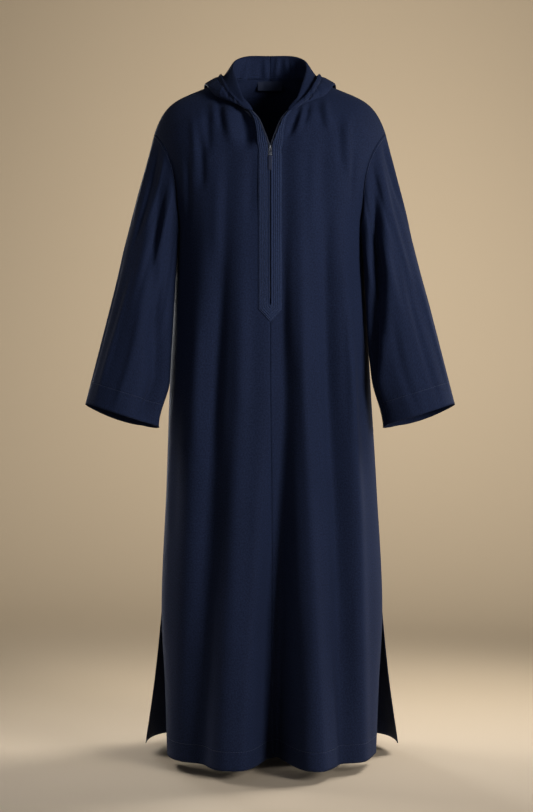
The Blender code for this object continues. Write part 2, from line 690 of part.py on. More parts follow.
def wire(name, points, radius, cyclic=False, sides=2):
    """A round wire through points, as a mesh object."""
    curve = bpy.data.curves.new(name, "CURVE")
    curve.dimensions = "3D"
    curve.bevel_depth = radius
    curve.bevel_resolution = sides
    curve.use_fill_caps = True
    line = curve.splines.new("POLY")
    line.points.add(len(points) - 1)
    for spot, point in zip(line.points, points):
        spot.co = (*point, 1)
    line.use_cyclic_u = cyclic
    shape = bpy.data.objects.new(name, curve)
    bpy.context.scene.collection.objects.link(shape)
    bpy.context.view_layer.update()
    data = bpy.data.meshes.new_from_object(shape.evaluated_get(bpy.context.evaluated_depsgraph_get()))
    bpy.data.objects.remove(shape)
    mesh = bmesh.new()
    mesh.from_mesh(data)
    bmesh.ops.remove_doubles(mesh, verts=mesh.verts, dist=1e-6)
    bmesh.ops.recalc_face_normals(mesh, faces=mesh.faces)
    return mesh


def join_solids(name, meshes, material, collection, cutters):
    """One solid from several that overlap."""
    base = add_piece(name, meshes[0], material, collection, smooth=False)
    for k, mesh in enumerate(meshes[1:]):
        other = add_piece(f"{name}_add_{k}", mesh, material, cutters, smooth=False)
        other.hide_render = True
        other.display_type = "WIRE"
        union = base.modifiers.new(f"union_{k}", "BOOLEAN")
        union.operation = "UNION"
        union.object = other
    return base


def make_slider(metal, collection, cutters):
    body = plate(rounded(SLIDER_HALF, SLIDER_LOW, SLIDER_HIGH, 0.0016), GAP, PLATE_FACE)
    behind = -TAPE_THICK - 2 * GAP
    lower = plate(rounded(SLIDER_HALF, SLIDER_LOW, SLIDER_HIGH, 0.0016), behind - 0.0011, behind)
    post = plate(rounded(0.0008, SLIDER_HIGH - 0.0032, SLIDER_HIGH - 0.0008, 0.0004, 1),
                 behind - 0.0003, GAP + 0.0003)
    bridge = wire("bridge", [(0, PLATE_FACE - 0.0004, -0.0004), (0, PLATE_FACE + 0.0020, 0.0002),
                             (0, PLATE_FACE + 0.0027, 0.0020), (0, PLATE_FACE + 0.0027, 0.0048),
                             (0, PLATE_FACE + 0.0018, 0.0066), (0, PLATE_FACE - 0.0004, 0.0074)], 0.00065)
    slider = join_solids("zip_slider", [body, lower, post, bridge], metal, collection, cutters)
    place = zip_frame()
    slider.matrix_world = place
    for cutter in cutters.objects:
        cutter.matrix_world = place


def make_pull(metal, trim, collection, cutters):
    """The link and the tab, built about the link's top bar, on which they swing."""
    half, out, low = LINK_HALF, TAB_OUT - PIVOT.y, -LINK_LENGTH
    loop = [Vector(p) for p in ((-half, 0, 0), (half, 0, 0), (half, out, low), (-half, out, low))]
    link = wire("link", loop, LINK_WIRE, cyclic=True)
    bar = wire("bar", [(-BAR_HALF, out, low - 0.0004), (BAR_HALF, out, low - 0.0004)], BAR_THICK / 2)
    pull = join_solids("pull_link", [link, bar], metal, collection, cutters)
    top = low - 0.0004 - BAR_THICK / 2 - GAP
    tab = plate(rounded(TAB_HALF, top - TAB_LENGTH, top, 0.0020, 4), out - TAB_THICK / 2, out + TAB_THICK / 2)
    pull_tab = add_piece("pull_tab", tab, trim, collection, smooth=False)
    swing = zip_frame() @ Matrix.Translation(PIVOT)
    for piece in [pull, pull_tab] + [c for c in cutters.objects if c.name.startswith("pull_link")]:
        piece.matrix_world = swing


# Label sewn inside the back of the neck, just under the hood's seam
LABEL_HALF, LABEL_TOP, LABEL_BOTTOM = 0.026, 0.0105, -0.0100
LABEL_THICK = 0.0006
LABEL_BACK = 0.0699            # its ends touch the back's neck edge here
LABEL_BOW = 0.0020             # its middle lies this much further back than its ends


def make_label(satin, collection):
    rows = []
    for z in (LABEL_TOP, (LABEL_TOP + LABEL_BOTTOM) / 2, LABEL_BOTTOM):
        row = []
        for k in range(-4, 5):
            outer = Vector((LABEL_HALF * k / 4, LABEL_BACK + LABEL_BOW * (1 - (k / 4) ** 2), z))
            row.append((outer, outer - Vector((0, LABEL_THICK, 0))))
        rows.append(row)
    wall_shell("neck_label", [rows], satin, collection)


def main():
    for old in list(bpy.data.objects):
        bpy.data.objects.remove(old)
    robe = bpy.data.collections.new("djellaba")
    cutters = bpy.data.collections.new("joined_solids")
    for collection in (robe, cutters):
        bpy.context.scene.collection.children.link(collection)
    wool = make_material("navy_wool", (0.018, 0.026, 0.062), 0.85)
    trim = make_material("navy_trim", (0.022, 0.032, 0.085), 0.65)
    tape = make_material("zip_tape", (0.012, 0.016, 0.035), 0.75)
    satin = make_material("label_satin", (0.012, 0.016, 0.034), 0.45)
    metal = make_material("gunmetal", (0.28, 0.29, 0.32), 0.32, 1.0)
    make_fronts(wool, robe)
    make_back(wool, robe)
    make_sleeves(wool, robe)
    make_hood(wool, robe)
    make_placket(trim, robe)
    make_zip_tapes(tape, robe)
    make_slider(metal, robe, cutters)
    make_pull(metal, trim, robe, cutters)
    make_label(satin, robe)


main()
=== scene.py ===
"""Looks of a men's hooded djellaba in navy wool, worn open at the neck and filled out with no wearer.

Metres, +Z up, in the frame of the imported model: +X is the wearer's left side and -Y the front.
"""
import math

import bmesh
import bpy
import numpy as np
from mathutils import Matrix, Vector
from mathutils.kdtree import KDTree


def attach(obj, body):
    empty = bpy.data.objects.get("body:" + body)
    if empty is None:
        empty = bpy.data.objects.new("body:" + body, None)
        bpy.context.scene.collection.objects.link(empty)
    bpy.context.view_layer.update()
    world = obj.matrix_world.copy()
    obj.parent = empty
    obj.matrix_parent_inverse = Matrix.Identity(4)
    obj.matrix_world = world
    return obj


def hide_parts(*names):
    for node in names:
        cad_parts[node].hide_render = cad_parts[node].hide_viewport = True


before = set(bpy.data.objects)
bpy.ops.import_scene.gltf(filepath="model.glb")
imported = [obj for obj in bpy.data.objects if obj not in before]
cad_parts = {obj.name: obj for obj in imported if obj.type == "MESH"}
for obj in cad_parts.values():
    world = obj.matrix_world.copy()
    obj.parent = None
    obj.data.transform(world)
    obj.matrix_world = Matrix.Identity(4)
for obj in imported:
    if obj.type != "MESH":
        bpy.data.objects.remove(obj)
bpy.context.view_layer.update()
scene = bpy.context.scene


# Camera and studio. The robe is seen level from the front, before one curved sheet of beige paper. The key
# light stands at the upper right and a weak fill at the left. Two narrow lamps light the floor from the
# sides, one lights the wall from above, and a faint one stands behind.
EYE = Vector((-0.0073, -3.25, -0.680))
LENS, FILM_HEIGHT = 69.21, 36.0
FLOOR = -1.418
WALL_Y, COVE = 6.2, 4.4         # where the sheet stands upright, and how widely it curves up from the floor
SHEET_HALF, SHEET_NEAR, SHEET_TOP = 4.5, -6.5, 3.5
COVE_STEPS = 24

camera_data = bpy.data.cameras.new("studio_camera")
camera_data.sensor_fit = "VERTICAL"
camera_data.sensor_height = FILM_HEIGHT
camera_data.lens = LENS
camera = bpy.data.objects.new("studio_camera", camera_data)
camera.location = EYE
camera.rotation_euler = (math.radians(90), 0, 0)
scene.collection.objects.link(camera)
scene.camera = camera
scene.view_settings.view_transform = "Standard"


class Shade:
    """One socket of a material's nodes. Arithmetic on it adds Math nodes, and add() any other node."""

    def __init__(self, socket):
        self.socket = socket

    def add(self, kind, settings, sockets, output=0):
        tree = self.socket.id_data
        node = tree.nodes.new(kind)
        for name, value in settings.items():
            setattr(node, name, value)
        for plug, value in sockets.items():
            if isinstance(value, Shade):
                tree.links.new(value.socket, node.inputs[plug])
            else:
                node.inputs[plug].default_value = value
        return Shade(node.outputs[output])

    def maths(self, operation, *values):
        return self.add("ShaderNodeMath", {"operation": operation}, dict(enumerate(values)))

    def __add__(self, other):
        return self.maths("ADD", self, other)

    def __sub__(self, other):
        return self.maths("SUBTRACT", self, other)

    def __rsub__(self, other):
        return self.maths("SUBTRACT", other, self)

    def __mul__(self, other):
        return self.maths("MULTIPLY", self, other)

    def __abs__(self):
        return self.maths("ABSOLUTE", self)

    __radd__ = __add__
    __rmul__ = __mul__

    def sine(self):
        return self.maths("SINE", self)

    def parts(self):
        """X, Y and Z of a vector."""
        split = self.add("ShaderNodeSeparateXYZ", {}, {0: self})
        return [Shade(output) for output in split.socket.node.outputs]

    def within(self, low, high):
        """0 below low and 1 above high, smooth between."""
        return self.add("ShaderNodeMapRange", {"interpolation_type": "SMOOTHSTEP"},
                        {0: self, 1: low, 2: high, 3: 0.0, 4: 1.0})

    def stretched(self, across, along, through=1.0):
        return self.add("ShaderNodeVectorMath", {"operation": "MULTIPLY"},
                        {0: self, 1: (across, along, through)})

    def noise(self, scale, detail=2.0, roughness=0.5):
        return self.add("ShaderNodeTexNoise", {},
                        {"Vector": self, "Scale": scale, "Detail": detail, "Roughness": roughness})

    def mixed(self, dark, light):
        """A colour between two, by this value."""
        return self.add("ShaderNodeMix", {"data_type": "RGBA"}, {0: self, 6: (*dark, 1), 7: (*light, 1)}, 2)

    def bump(self, strength, distance):
        return self.add("ShaderNodeBump", {}, {"Strength": strength, "Distance": distance, "Height": self})


def finish(name, colour, roughness, **constants):
    """A new material with its fixed values set on its shader."""
    material = bpy.data.materials.new(name)
    material.use_nodes = True
    shader = material.node_tree.nodes["Principled BSDF"]
    shader.inputs["Base Color"].default_value = (*colour, 1)
    shader.inputs["Roughness"].default_value = roughness
    for plug, value in constants.items():
        shader.inputs[plug.replace("_", " ")].default_value = value
    return material, shader


def coordinates(shader, kind="Object"):
    """Where a point lies on the piece, or on its cloth for kind UV."""
    return Shade(shader.inputs[0]).add("ShaderNodeTexCoord", {}, {}, kind)


def feed(shader, plug, value):
    """Lets a value that varies over the surface drive one socket of a material's shader."""
    value.socket.id_data.links.new(value.socket, shader.inputs[plug])


def add_object(name, data):
    piece = bpy.data.objects.new(name, data)
    scene.collection.objects.link(piece)
    return piece


paper, paper_shader = finish("studio_sheet", (0.50, 0.412, 0.292), 0.95, Specular_IOR_Level=0.15)
paper_place = coordinates(paper_shader)
# The sheet's colour is painted lighter towards the camera and darker towards the wall: painted light, a pool
# of light on the floor before the robe, with a faint random mottle on top.
paper_painted_light_and_mottle = paper_place.parts()[1].within(0.95, -0.45) + (paper_place.noise(0.7, 3.0) - 0.5) * 0.10
feed(paper_shader, "Base Color", paper_painted_light_and_mottle.mixed((0.500, 0.404, 0.282), (0.640, 0.540, 0.415)))

sweep = [(SHEET_NEAR, FLOOR), (WALL_Y - COVE, FLOOR)]
sweep += [(WALL_Y - COVE + COVE * math.sin(a), FLOOR + COVE * (1 - math.cos(a)))
          for a in (math.pi / 2 * k / COVE_STEPS for k in range(1, COVE_STEPS + 1))]
sweep.append((WALL_Y, SHEET_TOP))
sheet_data = bpy.data.meshes.new("studio_sheet")
sheet_data.from_pydata([(x, y, z) for y, z in sweep for x in (-SHEET_HALF, SHEET_HALF)], [],
                       [(2 * k, 2 * k + 1, 2 * k + 3, 2 * k + 2) for k in range(len(sweep) - 1)])
sheet_data.shade_smooth()
sheet_data.materials.append(paper)
add_object("studio_sheet", sheet_data)

LAMPS = (
    # name     place                aimed at             width  spread power  colour
    ("key",   (2.60, -2.50, 0.30), (0.0, 0.0, -0.06),    1.1,   92,    30,   (1.0, 0.97, 0.94)),
    ("fill",  (-2.6, -2.60, 0.30), (0.0, 0.0, -0.70),    2.2,   180,   5,    (0.94, 0.97, 1.0)),
    ("left",  (-1.50, 0.8, 0.20),  (0.10, 0.15, -1.45),  0.8,   72,    3.4,  (1.0, 0.97, 0.94)),
    ("right", (1.50, 0.8, 0.20),   (0.05, 0.30, -1.45),  0.8,   76,    8.6,  (1.0, 0.97, 0.94)),
    ("wall",  (0.60, 1.60, 2.90),  (0.50, 5.40, -0.20),  2.0,   130,   112,  (1.0, 0.96, 0.91)),
    ("back",  (-1.70, 3.60, 0.00), (0.0, 0.0, -0.60),    1.0,   42,    6,    (0.96, 0.98, 1.0)),
)
for name, place, aim, width, spread, power, colour in LAMPS:
    lamp = bpy.data.lights.new(name, "AREA")
    lamp.shape = "SQUARE"
    lamp.size, lamp.energy, lamp.color = width, power, colour
    lamp.spread = math.radians(spread)
    holder = add_object(name, lamp)
    holder.location = place
    holder.rotation_euler = (Vector(aim) - Vector(place)).to_track_quat("-Z", "Y").to_euler()

world = bpy.data.worlds.new("studio_air")
world.use_nodes = True
world.node_tree.nodes["Background"].inputs["Color"].default_value = (0.90, 0.92, 1.0, 1)
world.node_tree.nodes["Background"].inputs["Strength"].default_value = 0.06
scene.world = world


# Fronts. Two panels of brushed navy wool twill, cut with a straight warp and joined down the centre below
# the zip. Their face is the outer side of a 1.6 mm wall that hangs in long folds from the chest.
ROBE_LENGTH = 1.395
HEM = -ROBE_LENGTH
UNDERARM = -0.310
SLIT_TOP = -1.1025
WALL = 0.0016
GAP = 0.0003
SEAM = GAP / 2
LEFT, RIGHT = 1, -1
HIGH_SHOULDER = (0.088, 0.005, 0.0)
SHOULDER_TIP = (0.2405, 0.0, -0.114)
SHOULDER_SLOPE, SHOULDER_TURN = 0.52, 7.5
ZIP_END = -0.4645
ZIP_SEAT = 0.0045
V_FOOT, V_CUT, NECK_JOIN, NECK_BACK = 0.34, 0.42, 0.70, 1.34
SHOULDER_UP = SIDE_SHARE = 0.9995
HEM_DEPTH = 0.037                # the hem is turned up this far and topstitched
ARMHOLE_FRONT, ARMHOLE_BACK = 0.070, 0.075
ARMHOLE_TOP_BEND, ARMHOLE_LOW_BEND = 3.3, 4
PAST = 0.001                     # a step beyond a seam's end
WELD = 1e-5
WOOL = (0.0108, 0.0178, 0.0480)


def table(columns, *rows):
    """The columns of a table by name."""
    return dict(zip(columns.split(), np.array(rows, float).T))


def ease(t):
    t = np.clip(t, 0.0, 1.0)
    return t * t * (3 - 2 * t)


def read(rows, column, at):
    """The smooth value of a column at places in the table's first column, which rises."""
    keys, values = next(iter(rows.values())), rows[column]
    steps = np.diff(keys)
    rises = np.diff(values) / steps
    slopes = np.concatenate([rises[:1], np.zeros(len(keys) - 2), rises[-1:]])
    before, after = rises[:-1], rises[1:]
    blend = (before * steps[1:] + after * steps[:-1]) / (steps[1:] + steps[:-1])
    slopes[1:-1] = np.where(before * after > 0, blend, 0)
    at = np.clip(at, keys[0], keys[-1])
    i = np.clip(np.searchsorted(keys, at, side="right") - 1, 0, len(keys) - 2)
    t = (at - keys[i]) / steps[i]
    return ((1 + 2 * t) * (1 - t) ** 2 * values[i] + t * (1 - t) ** 2 * steps[i] * slopes[i]
            + t * t * (3 - 2 * t) * values[i + 1] + t * t * (t - 1) * steps[i] * slopes[i + 1])


def stack(x, y, z):
    return np.stack(np.broadcast_arrays(x, y, z), -1)


def unit(vectors):
    return vectors / np.maximum(np.linalg.norm(vectors, axis=-1, keepdims=True), 1e-12)


# The tube of the body, from the hem up: half widths of the front and the back, where their side edges lie,
# their depths, how square each is, and how far the whole robe sways to the wearer's left
SECTIONS = table(
    "height  front_half back_half front_edge back_edge front_depth back_depth front_square back_square sway",
    (HEM,       0.2155,   0.268,   -0.022,    0.060,     0.197,      0.243,       2.0,     2.7,     0.004),
    (-1.255,    0.2215,   0.2465,  -0.011,    0.026,     0.184,      0.215,       2.0,     2.6,     0.004),
    (SLIT_TOP,  0.2295,   0.2295,   0.0,      0.0,       0.170,      0.188,       2.1,     2.5,     0.004),
    (-0.850,    0.2185,   0.2185,   0.0,      0.0,       0.152,      0.155,       2.2,     2.4,     0.003),
    (-0.580,    0.2055,   0.2055,   0.0,      0.0,       0.141,      0.132,       2.4,     2.4,     0.0),
    (UNDERARM,  0.1890,   0.1890,   0.0,      0.0,       0.135,      0.120,       2.5,     2.4,     0.0),
)
SEAM_TURNS = table("height turn", (SLIT_TOP, 90), (UNDERARM, 87))

# Edge of the fronts up the V and the neck, over the shoulder (station 1) and down the centre back
NECK_EDGE = table(
    "station     x       y       z",
    (0.0,       0.0,   -0.135,  UNDERARM),
    (0.17,      0.0,   -0.133,  -0.232),
    (V_FOOT,    0.0,   -0.1262, -0.1655),
    (V_CUT,     0.0055, -0.1238, -0.1430),
    (0.50,      0.0115, -0.118, -0.1270),
    (0.57,      0.0205, -0.111, -0.1040),
    (0.64,      0.0325, -0.102, -0.0870),
    (NECK_JOIN, 0.0445, -0.093, -0.0747),
    (0.80,      0.0680, -0.062, -0.0460),
    (0.90,      0.0820, -0.030, -0.0180),
    (1.00,      0.0880, 0.005,  0.0),
    (1.12,      0.0800, 0.042,  0.0100),
    (1.23,      0.0480, 0.066,  0.0140),
    (NECK_BACK, 0.0,    0.075,  0.0150),
    (1.48,      0.0,    0.093,  -0.0550),
    (1.70,      0.0,    0.112,  -0.1600),
    (2.00,      0.0,    0.120,  UNDERARM),
)

# The long folds, in millimetres: x at the chest, half way and at the hem, the width at the top and the hem,
# and the rise half way and at the hem. The last column is a power: above 2, the fold has a flatter crest.
FOLDS = {
    "front": (
        (-112,   -159, -190, 22, 30,        7,        4,    2),
        ( -78, -113.5, -150, 18, 34,       -6,      -10,    2),
        ( -60,    -66,  -92, 22, 45,        6,       10,    2),
        (  34,     10,    6, 18, 45,       -8,     -116,    4),
        (  50,     64,   84, 20, 40,        8,       10,    2),
        ( 106,  127.5,  158, 18, 32,       -7,       -6,    2),
        ( 126,    159,  195, 18, 30,        7,       -6,    2),
        # sharper crests and valleys that ride on the wide ones
        (-110,   -150, -175, 14, 20,      1.4,        0,    2),
        ( -82,   -111, -156, 13, 26,     -6.4,      -10,    2),
        ( -52,    -60,  -98, 15, 28,        3,        5,    2),
        (  30,     31,   22, 13, 20,      -10,      -12,    2),
        (  60,     68,   90, 14, 21,        9,       11,    2),
        ( 102,    120,  150, 14, 20,      -12,      -13,    2),
        ( 136,    160,  184, 14, 18,       10,       11,    2),
    ),
    "back": (
        (-150,   -165, -195, 25, 40,       -6,      -22,    2),
        ( -95,   -110, -120, 25, 45,        7,       18,    2),
        ( -20,    -10,   10, 30, 50,       -8,      -45,    2),
        (  80,    105,  130, 25, 45,        7,       18,    2),
        ( 145,    165,  205, 25, 40,       -6,      -20,    2),
    ),
}
FOLD_TOP, FOLD_MID = -0.16, -0.67
SMOOTH_SIDE = 0.12


def fold_rise(panel, x, z):
    """How far the long folds lift the cloth outwards; negative in a valley."""
    total = 0.0
    upper = (FOLD_TOP - z) / (FOLD_TOP - FOLD_MID)
    lower = np.clip((FOLD_MID - z) / (FOLD_MID - HEM), 0, None)
    high = z > FOLD_MID
    for *sizes, flat in FOLDS[panel]:
        x_top, x_mid, x_hem, width_top, width_hem, rise_mid, rise_hem = np.array(sizes) / 1000
        centre = np.where(high, x_top + (x_mid - x_top) * np.maximum(upper, 0),
                          x_mid + (x_hem - x_mid) * lower)
        rise = np.where(high, rise_mid * ease(upper), rise_mid + (rise_hem - rise_mid) * lower ** 1.4)
        width = width_top + (width_hem - width_top) * lower
        total = total + rise * np.exp(-np.abs((x - centre) / width) ** (2 + (flat - 2) * lower))
    return total


def tube_point(panel, side, s, z):
    """Points of the body below the arms. s runs from the centre front or back to the side seam."""
    seam = read(SEAM_TURNS, "turn", z)
    turned = np.radians(s * (seam if panel == "front" else 180 - seam))
    faces_front = (turned > np.pi / 2) | (panel == "front")
    half, edge = read(SECTIONS, panel + "_half", z), read(SECTIONS, panel + "_edge", z)
    square = np.where(faces_front, read(SECTIONS, "front_square", z), read(SECTIONS, "back_square", z))
    depth = np.where(faces_front, read(SECTIONS, "front_depth", z), read(SECTIONS, "back_depth", z))
    across = np.sin(turned)
    along = np.maximum(1 - np.abs(across) ** square, 0) ** (1 / square)
    x = side * half * across
    y = np.where(faces_front, edge - (depth + edge) * along, edge + (depth - edge) * along)
    normal = unit(stack(side * np.abs(across) ** (square - 1) / half,
                        np.where(faces_front, -1, 1) * along ** (square - 1) / depth, 0))
    folded = fold_rise(panel, x, z) * ease((1 - s) / SMOOTH_SIDE)
    return stack(x + read(SECTIONS, "sway", z), y, z) + normal * folded[..., None]


UNDERARM_SEAM = tube_point("front", LEFT, np.array(1.0), np.array(UNDERARM))


def armhole(side, turn):
    """The seam that joins a sleeve to the body. turn is 0 on the shoulder and grows towards the front."""
    middle, reach = (SHOULDER_TIP[2] + UNDERARM) / 2, (SHOULDER_TIP[2] - UNDERARM) / 2
    high, low = (1 + np.cos(turn)) / 2, (1 - np.cos(turn)) / 2
    x = UNDERARM_SEAM[0] + (SHOULDER_TIP[0] - UNDERARM_SEAM[0]) * high ** ARMHOLE_TOP_BEND
    depth = np.where(np.sin(turn) > 0, ARMHOLE_FRONT, ARMHOLE_BACK)
    y = -depth * np.sin(turn) + UNDERARM_SEAM[1] * low ** ARMHOLE_LOW_BEND
    return stack(side * x, y, middle + reach * np.cos(turn))


def shoulder_line(side, s):
    share = (s + np.sin(np.pi * s / 2)) / 2
    bend = np.sign(share) * np.abs(share) ** SHOULDER_TURN
    drop = SHOULDER_SLOPE * share + (1 - SHOULDER_SLOPE) * bend
    return stack(side * (HIGH_SHOULDER[0] + (SHOULDER_TIP[0] - HIGH_SHOULDER[0]) * share),
                 HIGH_SHOULDER[1] * (1 - share), SHOULDER_TIP[2] * drop)


def neck_edge(side, station):
    return stack(side * read(NECK_EDGE, "x", station), read(NECK_EDGE, "y", station),
                 read(NECK_EDGE, "z", station))


def yoke_point(side, s, station):
    """Points of the chest, shoulder or upper back, between the neck edge and the armhole."""
    def strip(at):
        inner, outer = neck_edge(side, at), armhole(side, np.pi * (1 - at))
        return inner + (outer - inner) * stack(s, s * s, s)
    front = station <= 1
    low = np.where(front, 0.0, 2.0)
    chest = np.where(front[..., None], tube_point("front", side, s, np.full_like(s, UNDERARM)),
                     tube_point("back", side, s, np.full_like(s, UNDERARM))) - strip(low)
    crest = shoulder_line(side, s) - strip(np.ones_like(s))
    risen = (np.sin(np.pi * station / 2) ** 2)[..., None]
    return strip(station) + chest * (1 - risen) + crest * risen


def body_point(panel, side, s, up):
    """up is the distance below the underarm level while negative, then the station up to the shoulder."""
    s, up = np.broadcast_arrays(np.asarray(s, float), np.asarray(up, float))
    low = tube_point(panel, side, s, UNDERARM + np.minimum(up, 0))
    above = np.maximum(up, 0)
    return np.where((up <= 0)[..., None], low, yoke_point(side, s, above if panel == "front" else 2 - above))


def share_for(panel, side, up, distance):
    """The s that lies a distance from the centre line or the neck edge."""
    probe = 0.04
    reach = np.linalg.norm(body_point(panel, side, probe, up) - body_point(panel, side, 0, up), axis=-1)
    return probe * distance / reach


def outward(points):
    """Normals of a grid whose rows run up and whose columns run so that they point out of the cloth."""
    across, along = np.gradient(points, axis=1), np.gradient(points, axis=0)
    return unit(np.cross(across, along))


CREASE_END = 0.35                # the share of its run over which a crease dies out


def creases(rows, across, down):
    """Soft ridges and troughs, in thousandths: each runs from a first to a last point, with a bow, a width
    and a rise, and dies out at both ends."""
    total = np.zeros(np.broadcast(across, down).shape)
    for across_0, down_0, across_1, down_1, bow, width, rise in np.array(rows) / 1000:
        run = math.hypot(across_1 - across_0, down_1 - down_0)
        dx, dy = (across_1 - across_0) / run, (down_1 - down_0) / run
        t = ((across - across_0) * dx + (down - down_0) * dy) / run
        off = (across - across_0) * dy - (down - down_0) * dx - bow * 4 * t * (1 - t)
        total += rise * np.exp(-(off / width) ** 2) * ease(t / CREASE_END) * ease((1 - t) / CREASE_END)
    return total


def raised(points, rise):
    """A grid moved along its normals."""
    return points + outward(points) * rise[..., None]


def lengths(points, axis):
    """Distance along the rows or columns of a grid from their first point."""
    steps = np.linalg.norm(np.diff(points, axis=axis), axis=-1)
    zero = np.zeros_like(np.take(steps, [0], axis=axis))
    return np.concatenate([zero, np.cumsum(steps, axis=axis)], axis=axis)


def cloth_mesh(name, patches, material, thick=WALL, weld=0.0):
    """A piece of cloth from grids of points on its face, welded where their edges meet. Each grid comes
    with its threads, (across, along) in metres of cloth, and its marks: distances from edges and seams."""
    spots, faces, uvs, marks, start = [], [], [], {}, 0
    for points, threads, distances in patches:
        rows, columns = points.shape[:2]
        index = start + np.arange(rows * columns).reshape(rows, columns)
        quads = np.stack([index[:-1, :-1], index[:-1, 1:], index[1:, 1:], index[1:, :-1]], -1).reshape(-1, 4)
        spots.append(points.reshape(-1, 3))
        faces.append(quads)
        uvs.append(np.stack(threads, -1).reshape(-1, 2)[quads.reshape(-1) - start])
        for mark, values in distances.items():
            marks.setdefault(mark, []).append(np.broadcast_to(values, (rows, columns)).reshape(-1))
        start += rows * columns
    data = bpy.data.meshes.new(name)
    data.from_pydata(np.concatenate(spots).tolist(), [], np.concatenate(faces).tolist())
    layer = data.uv_layers.new(name="cloth")
    layer.data.foreach_set("uv", np.concatenate(uvs).reshape(-1))
    for mark, values in marks.items():
        data.attributes.new(mark, "FLOAT", "POINT").data.foreach_set("value", np.concatenate(values))
    if weld:
        mesh = bmesh.new()
        mesh.from_mesh(data)
        bmesh.ops.remove_doubles(mesh, verts=mesh.verts, dist=weld)
        mesh.to_mesh(data)
        mesh.free()
    data.shade_smooth()
    data.materials.append(material)
    piece = add_object(name, data)
    wall = piece.modifiers.new("wall", "SOLIDIFY")
    wall.thickness, wall.offset = thick, -1
    return piece


TWILL_SLANT, TWILL_LINES = 0.62, 6200
SEWN_WIDTH, SEWN_REACH = 0.0022, 0.010    # how near a row of sewing presses and puckers the cloth


def wool(name, lines=(), colour=WOOL, brushed=1.0):
    """Brushed wool twill. lines are (mark, distance): rows of sewing that pull the cloth in along them."""
    material, shader = finish(name, colour, 0.86, Specular_IOR_Level=0.10, Sheen_Weight=0.035,
                              Sheen_Roughness=0.42, Sheen_Tint=(0.42, 0.52, 0.80, 1))
    threads = coordinates(shader, "UV")
    slub = threads.stretched(520, 46).noise(1.0, 3.0, 0.6)
    pile = threads.stretched(310, 280).noise(1.0, 3.0, 0.75).within(0.32, 0.68)
    patch = threads.stretched(9, 5).noise(1.0, 3.0, 0.55)
    tone = slub * 0.30 + pile * 0.60 + patch * 0.30 - 0.10
    dark, light = [tuple(c * k for c in colour) for k in (0.50, 1.52)]
    feed(shader, "Base Color", tone.mixed(dark, light))
    across, along, _ = threads.parts()
    twill = ((across * TWILL_SLANT + along) * TWILL_LINES).sine() * 0.5 + 0.5
    height = twill * 0.10 + slub * 0.45 + pile * (0.30 * brushed)
    for mark, distance in lines:
        off = abs(threads.add("ShaderNodeAttribute", {"attribute_name": mark}, {}, "Fac") - distance)
        height = height + off.within(0.0, SEWN_WIDTH) * 1.3
        pull = 1 - off.within(0.0, SEWN_REACH)
        height = height + pull * threads.stretched(140, 140).noise(1.0, 1.0) * 1.1
    feed(shader, "Normal", height.bump(0.55, 0.0006))
    feed(shader, "Roughness", slub * 0.14 + 0.78)
    return material


def dress(piece, node, body="garment"):
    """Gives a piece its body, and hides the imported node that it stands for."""
    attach(piece, body)
    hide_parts(node)


# Short creases of the fronts, in millimetres of x and z: under the hood's flaps, at the armholes, and
# across the lap
FRONT_CREASES = (
    #   x      z     x      z  bow  wide  rise
    ( -60,   -56,  -45,  -176,  -3,   15,  -16),
    ( -90,   -60,  -74,  -160,   2,   10,  4.4),
    (-106,   -46,  -92,  -140,   2,  8.5,   -4),
    (-115,   -46, -107,  -120,   2,    7,  2.4),
    (-130,   -62, -123,  -180,   0,  8.5, -4.2),
    (-145,  -110, -138,  -260,  -3,    9, -4.2),
    (-160,   -80, -150,  -210,  -2,    8,  2.8),
    (  60,   -66,   30,  -150,  -3,    6, -5.6),
    (  70,   -62,   50,  -140,  -2,  6.5,    4),
    (  80,   -58,   68,  -118,   0,  5.5, -4.8),
    (  97,   -46,  110,  -130,   2,    8, -4.2),
    ( 110,   -46,  122,  -140,   2,    8,  3.4),
    ( 138,   -80,  148,  -220,   2,  8.5,   -5),
    ( 158,   -80,  160,  -240,   3,  8.5,    3),
    ( 172,  -150,  166,  -300,   2,    6, -3.4),
    (-170,  -160, -166,  -320,  -2,    7, -3.2),
    (-100,  -180, -104,  -420,   4,   12,    3),
    ( -34,  -150,  -40,  -330,   2,   11, -2.4),
    (  92,  -140,   84,  -360,   3,   12,    3),
    ( 120,  -260,  112,  -480,   3,   11, -2.6),
    (  40,  -300,   46,  -620,   3,   13,  2.8),
    ( -50,  -420,  -52,  -760,   3,   14,  2.6),
    (-140,  -460, -150,  -820,   3,   12,    3),
    ( 150,  -420,  160,  -760,   3,   11, -2.8),
    ( -90,  -700, -100, -1100,   4,   15, -2.6),
    (  30,  -640,   34, -1020,   3,   15, -2.4),
    ( 110,  -760,  124, -1160,   4,   15,    3),
    ( -20,  -780,  -24, -1180,   3,   14,  2.2),
    ( 186,  -560,  196,  -900,   4,   12,   -3),
    (-186,  -620, -196, -1000,   4,   12,   -3),
    (-130, -1000, -140, -1330,   3,   16,  2.8),
    (  60, -1060,   66, -1360,   3,   16, -2.6),
    ( 176, -1000,  182, -1340,   2,   14,  2.6),
)
FRONT_COLUMNS, FRONT_ROWS_LOW, FRONT_ROWS_HIGH = 84, 190, 76
CHEST_BAND, CHEST_SOFTENING = (0.02, 0.16), 220    # the cloth hangs smoothly past the underarm level


def climb(foot, rows_low, top, rows_high):
    """Rows of body_point's up, from a height below the underarm level to a station above it."""
    low = np.linspace(foot - UNDERARM, 0, rows_low + 1)[:-1]
    return np.concatenate([low, np.linspace(0, top, rows_high + 1)])[:, None]


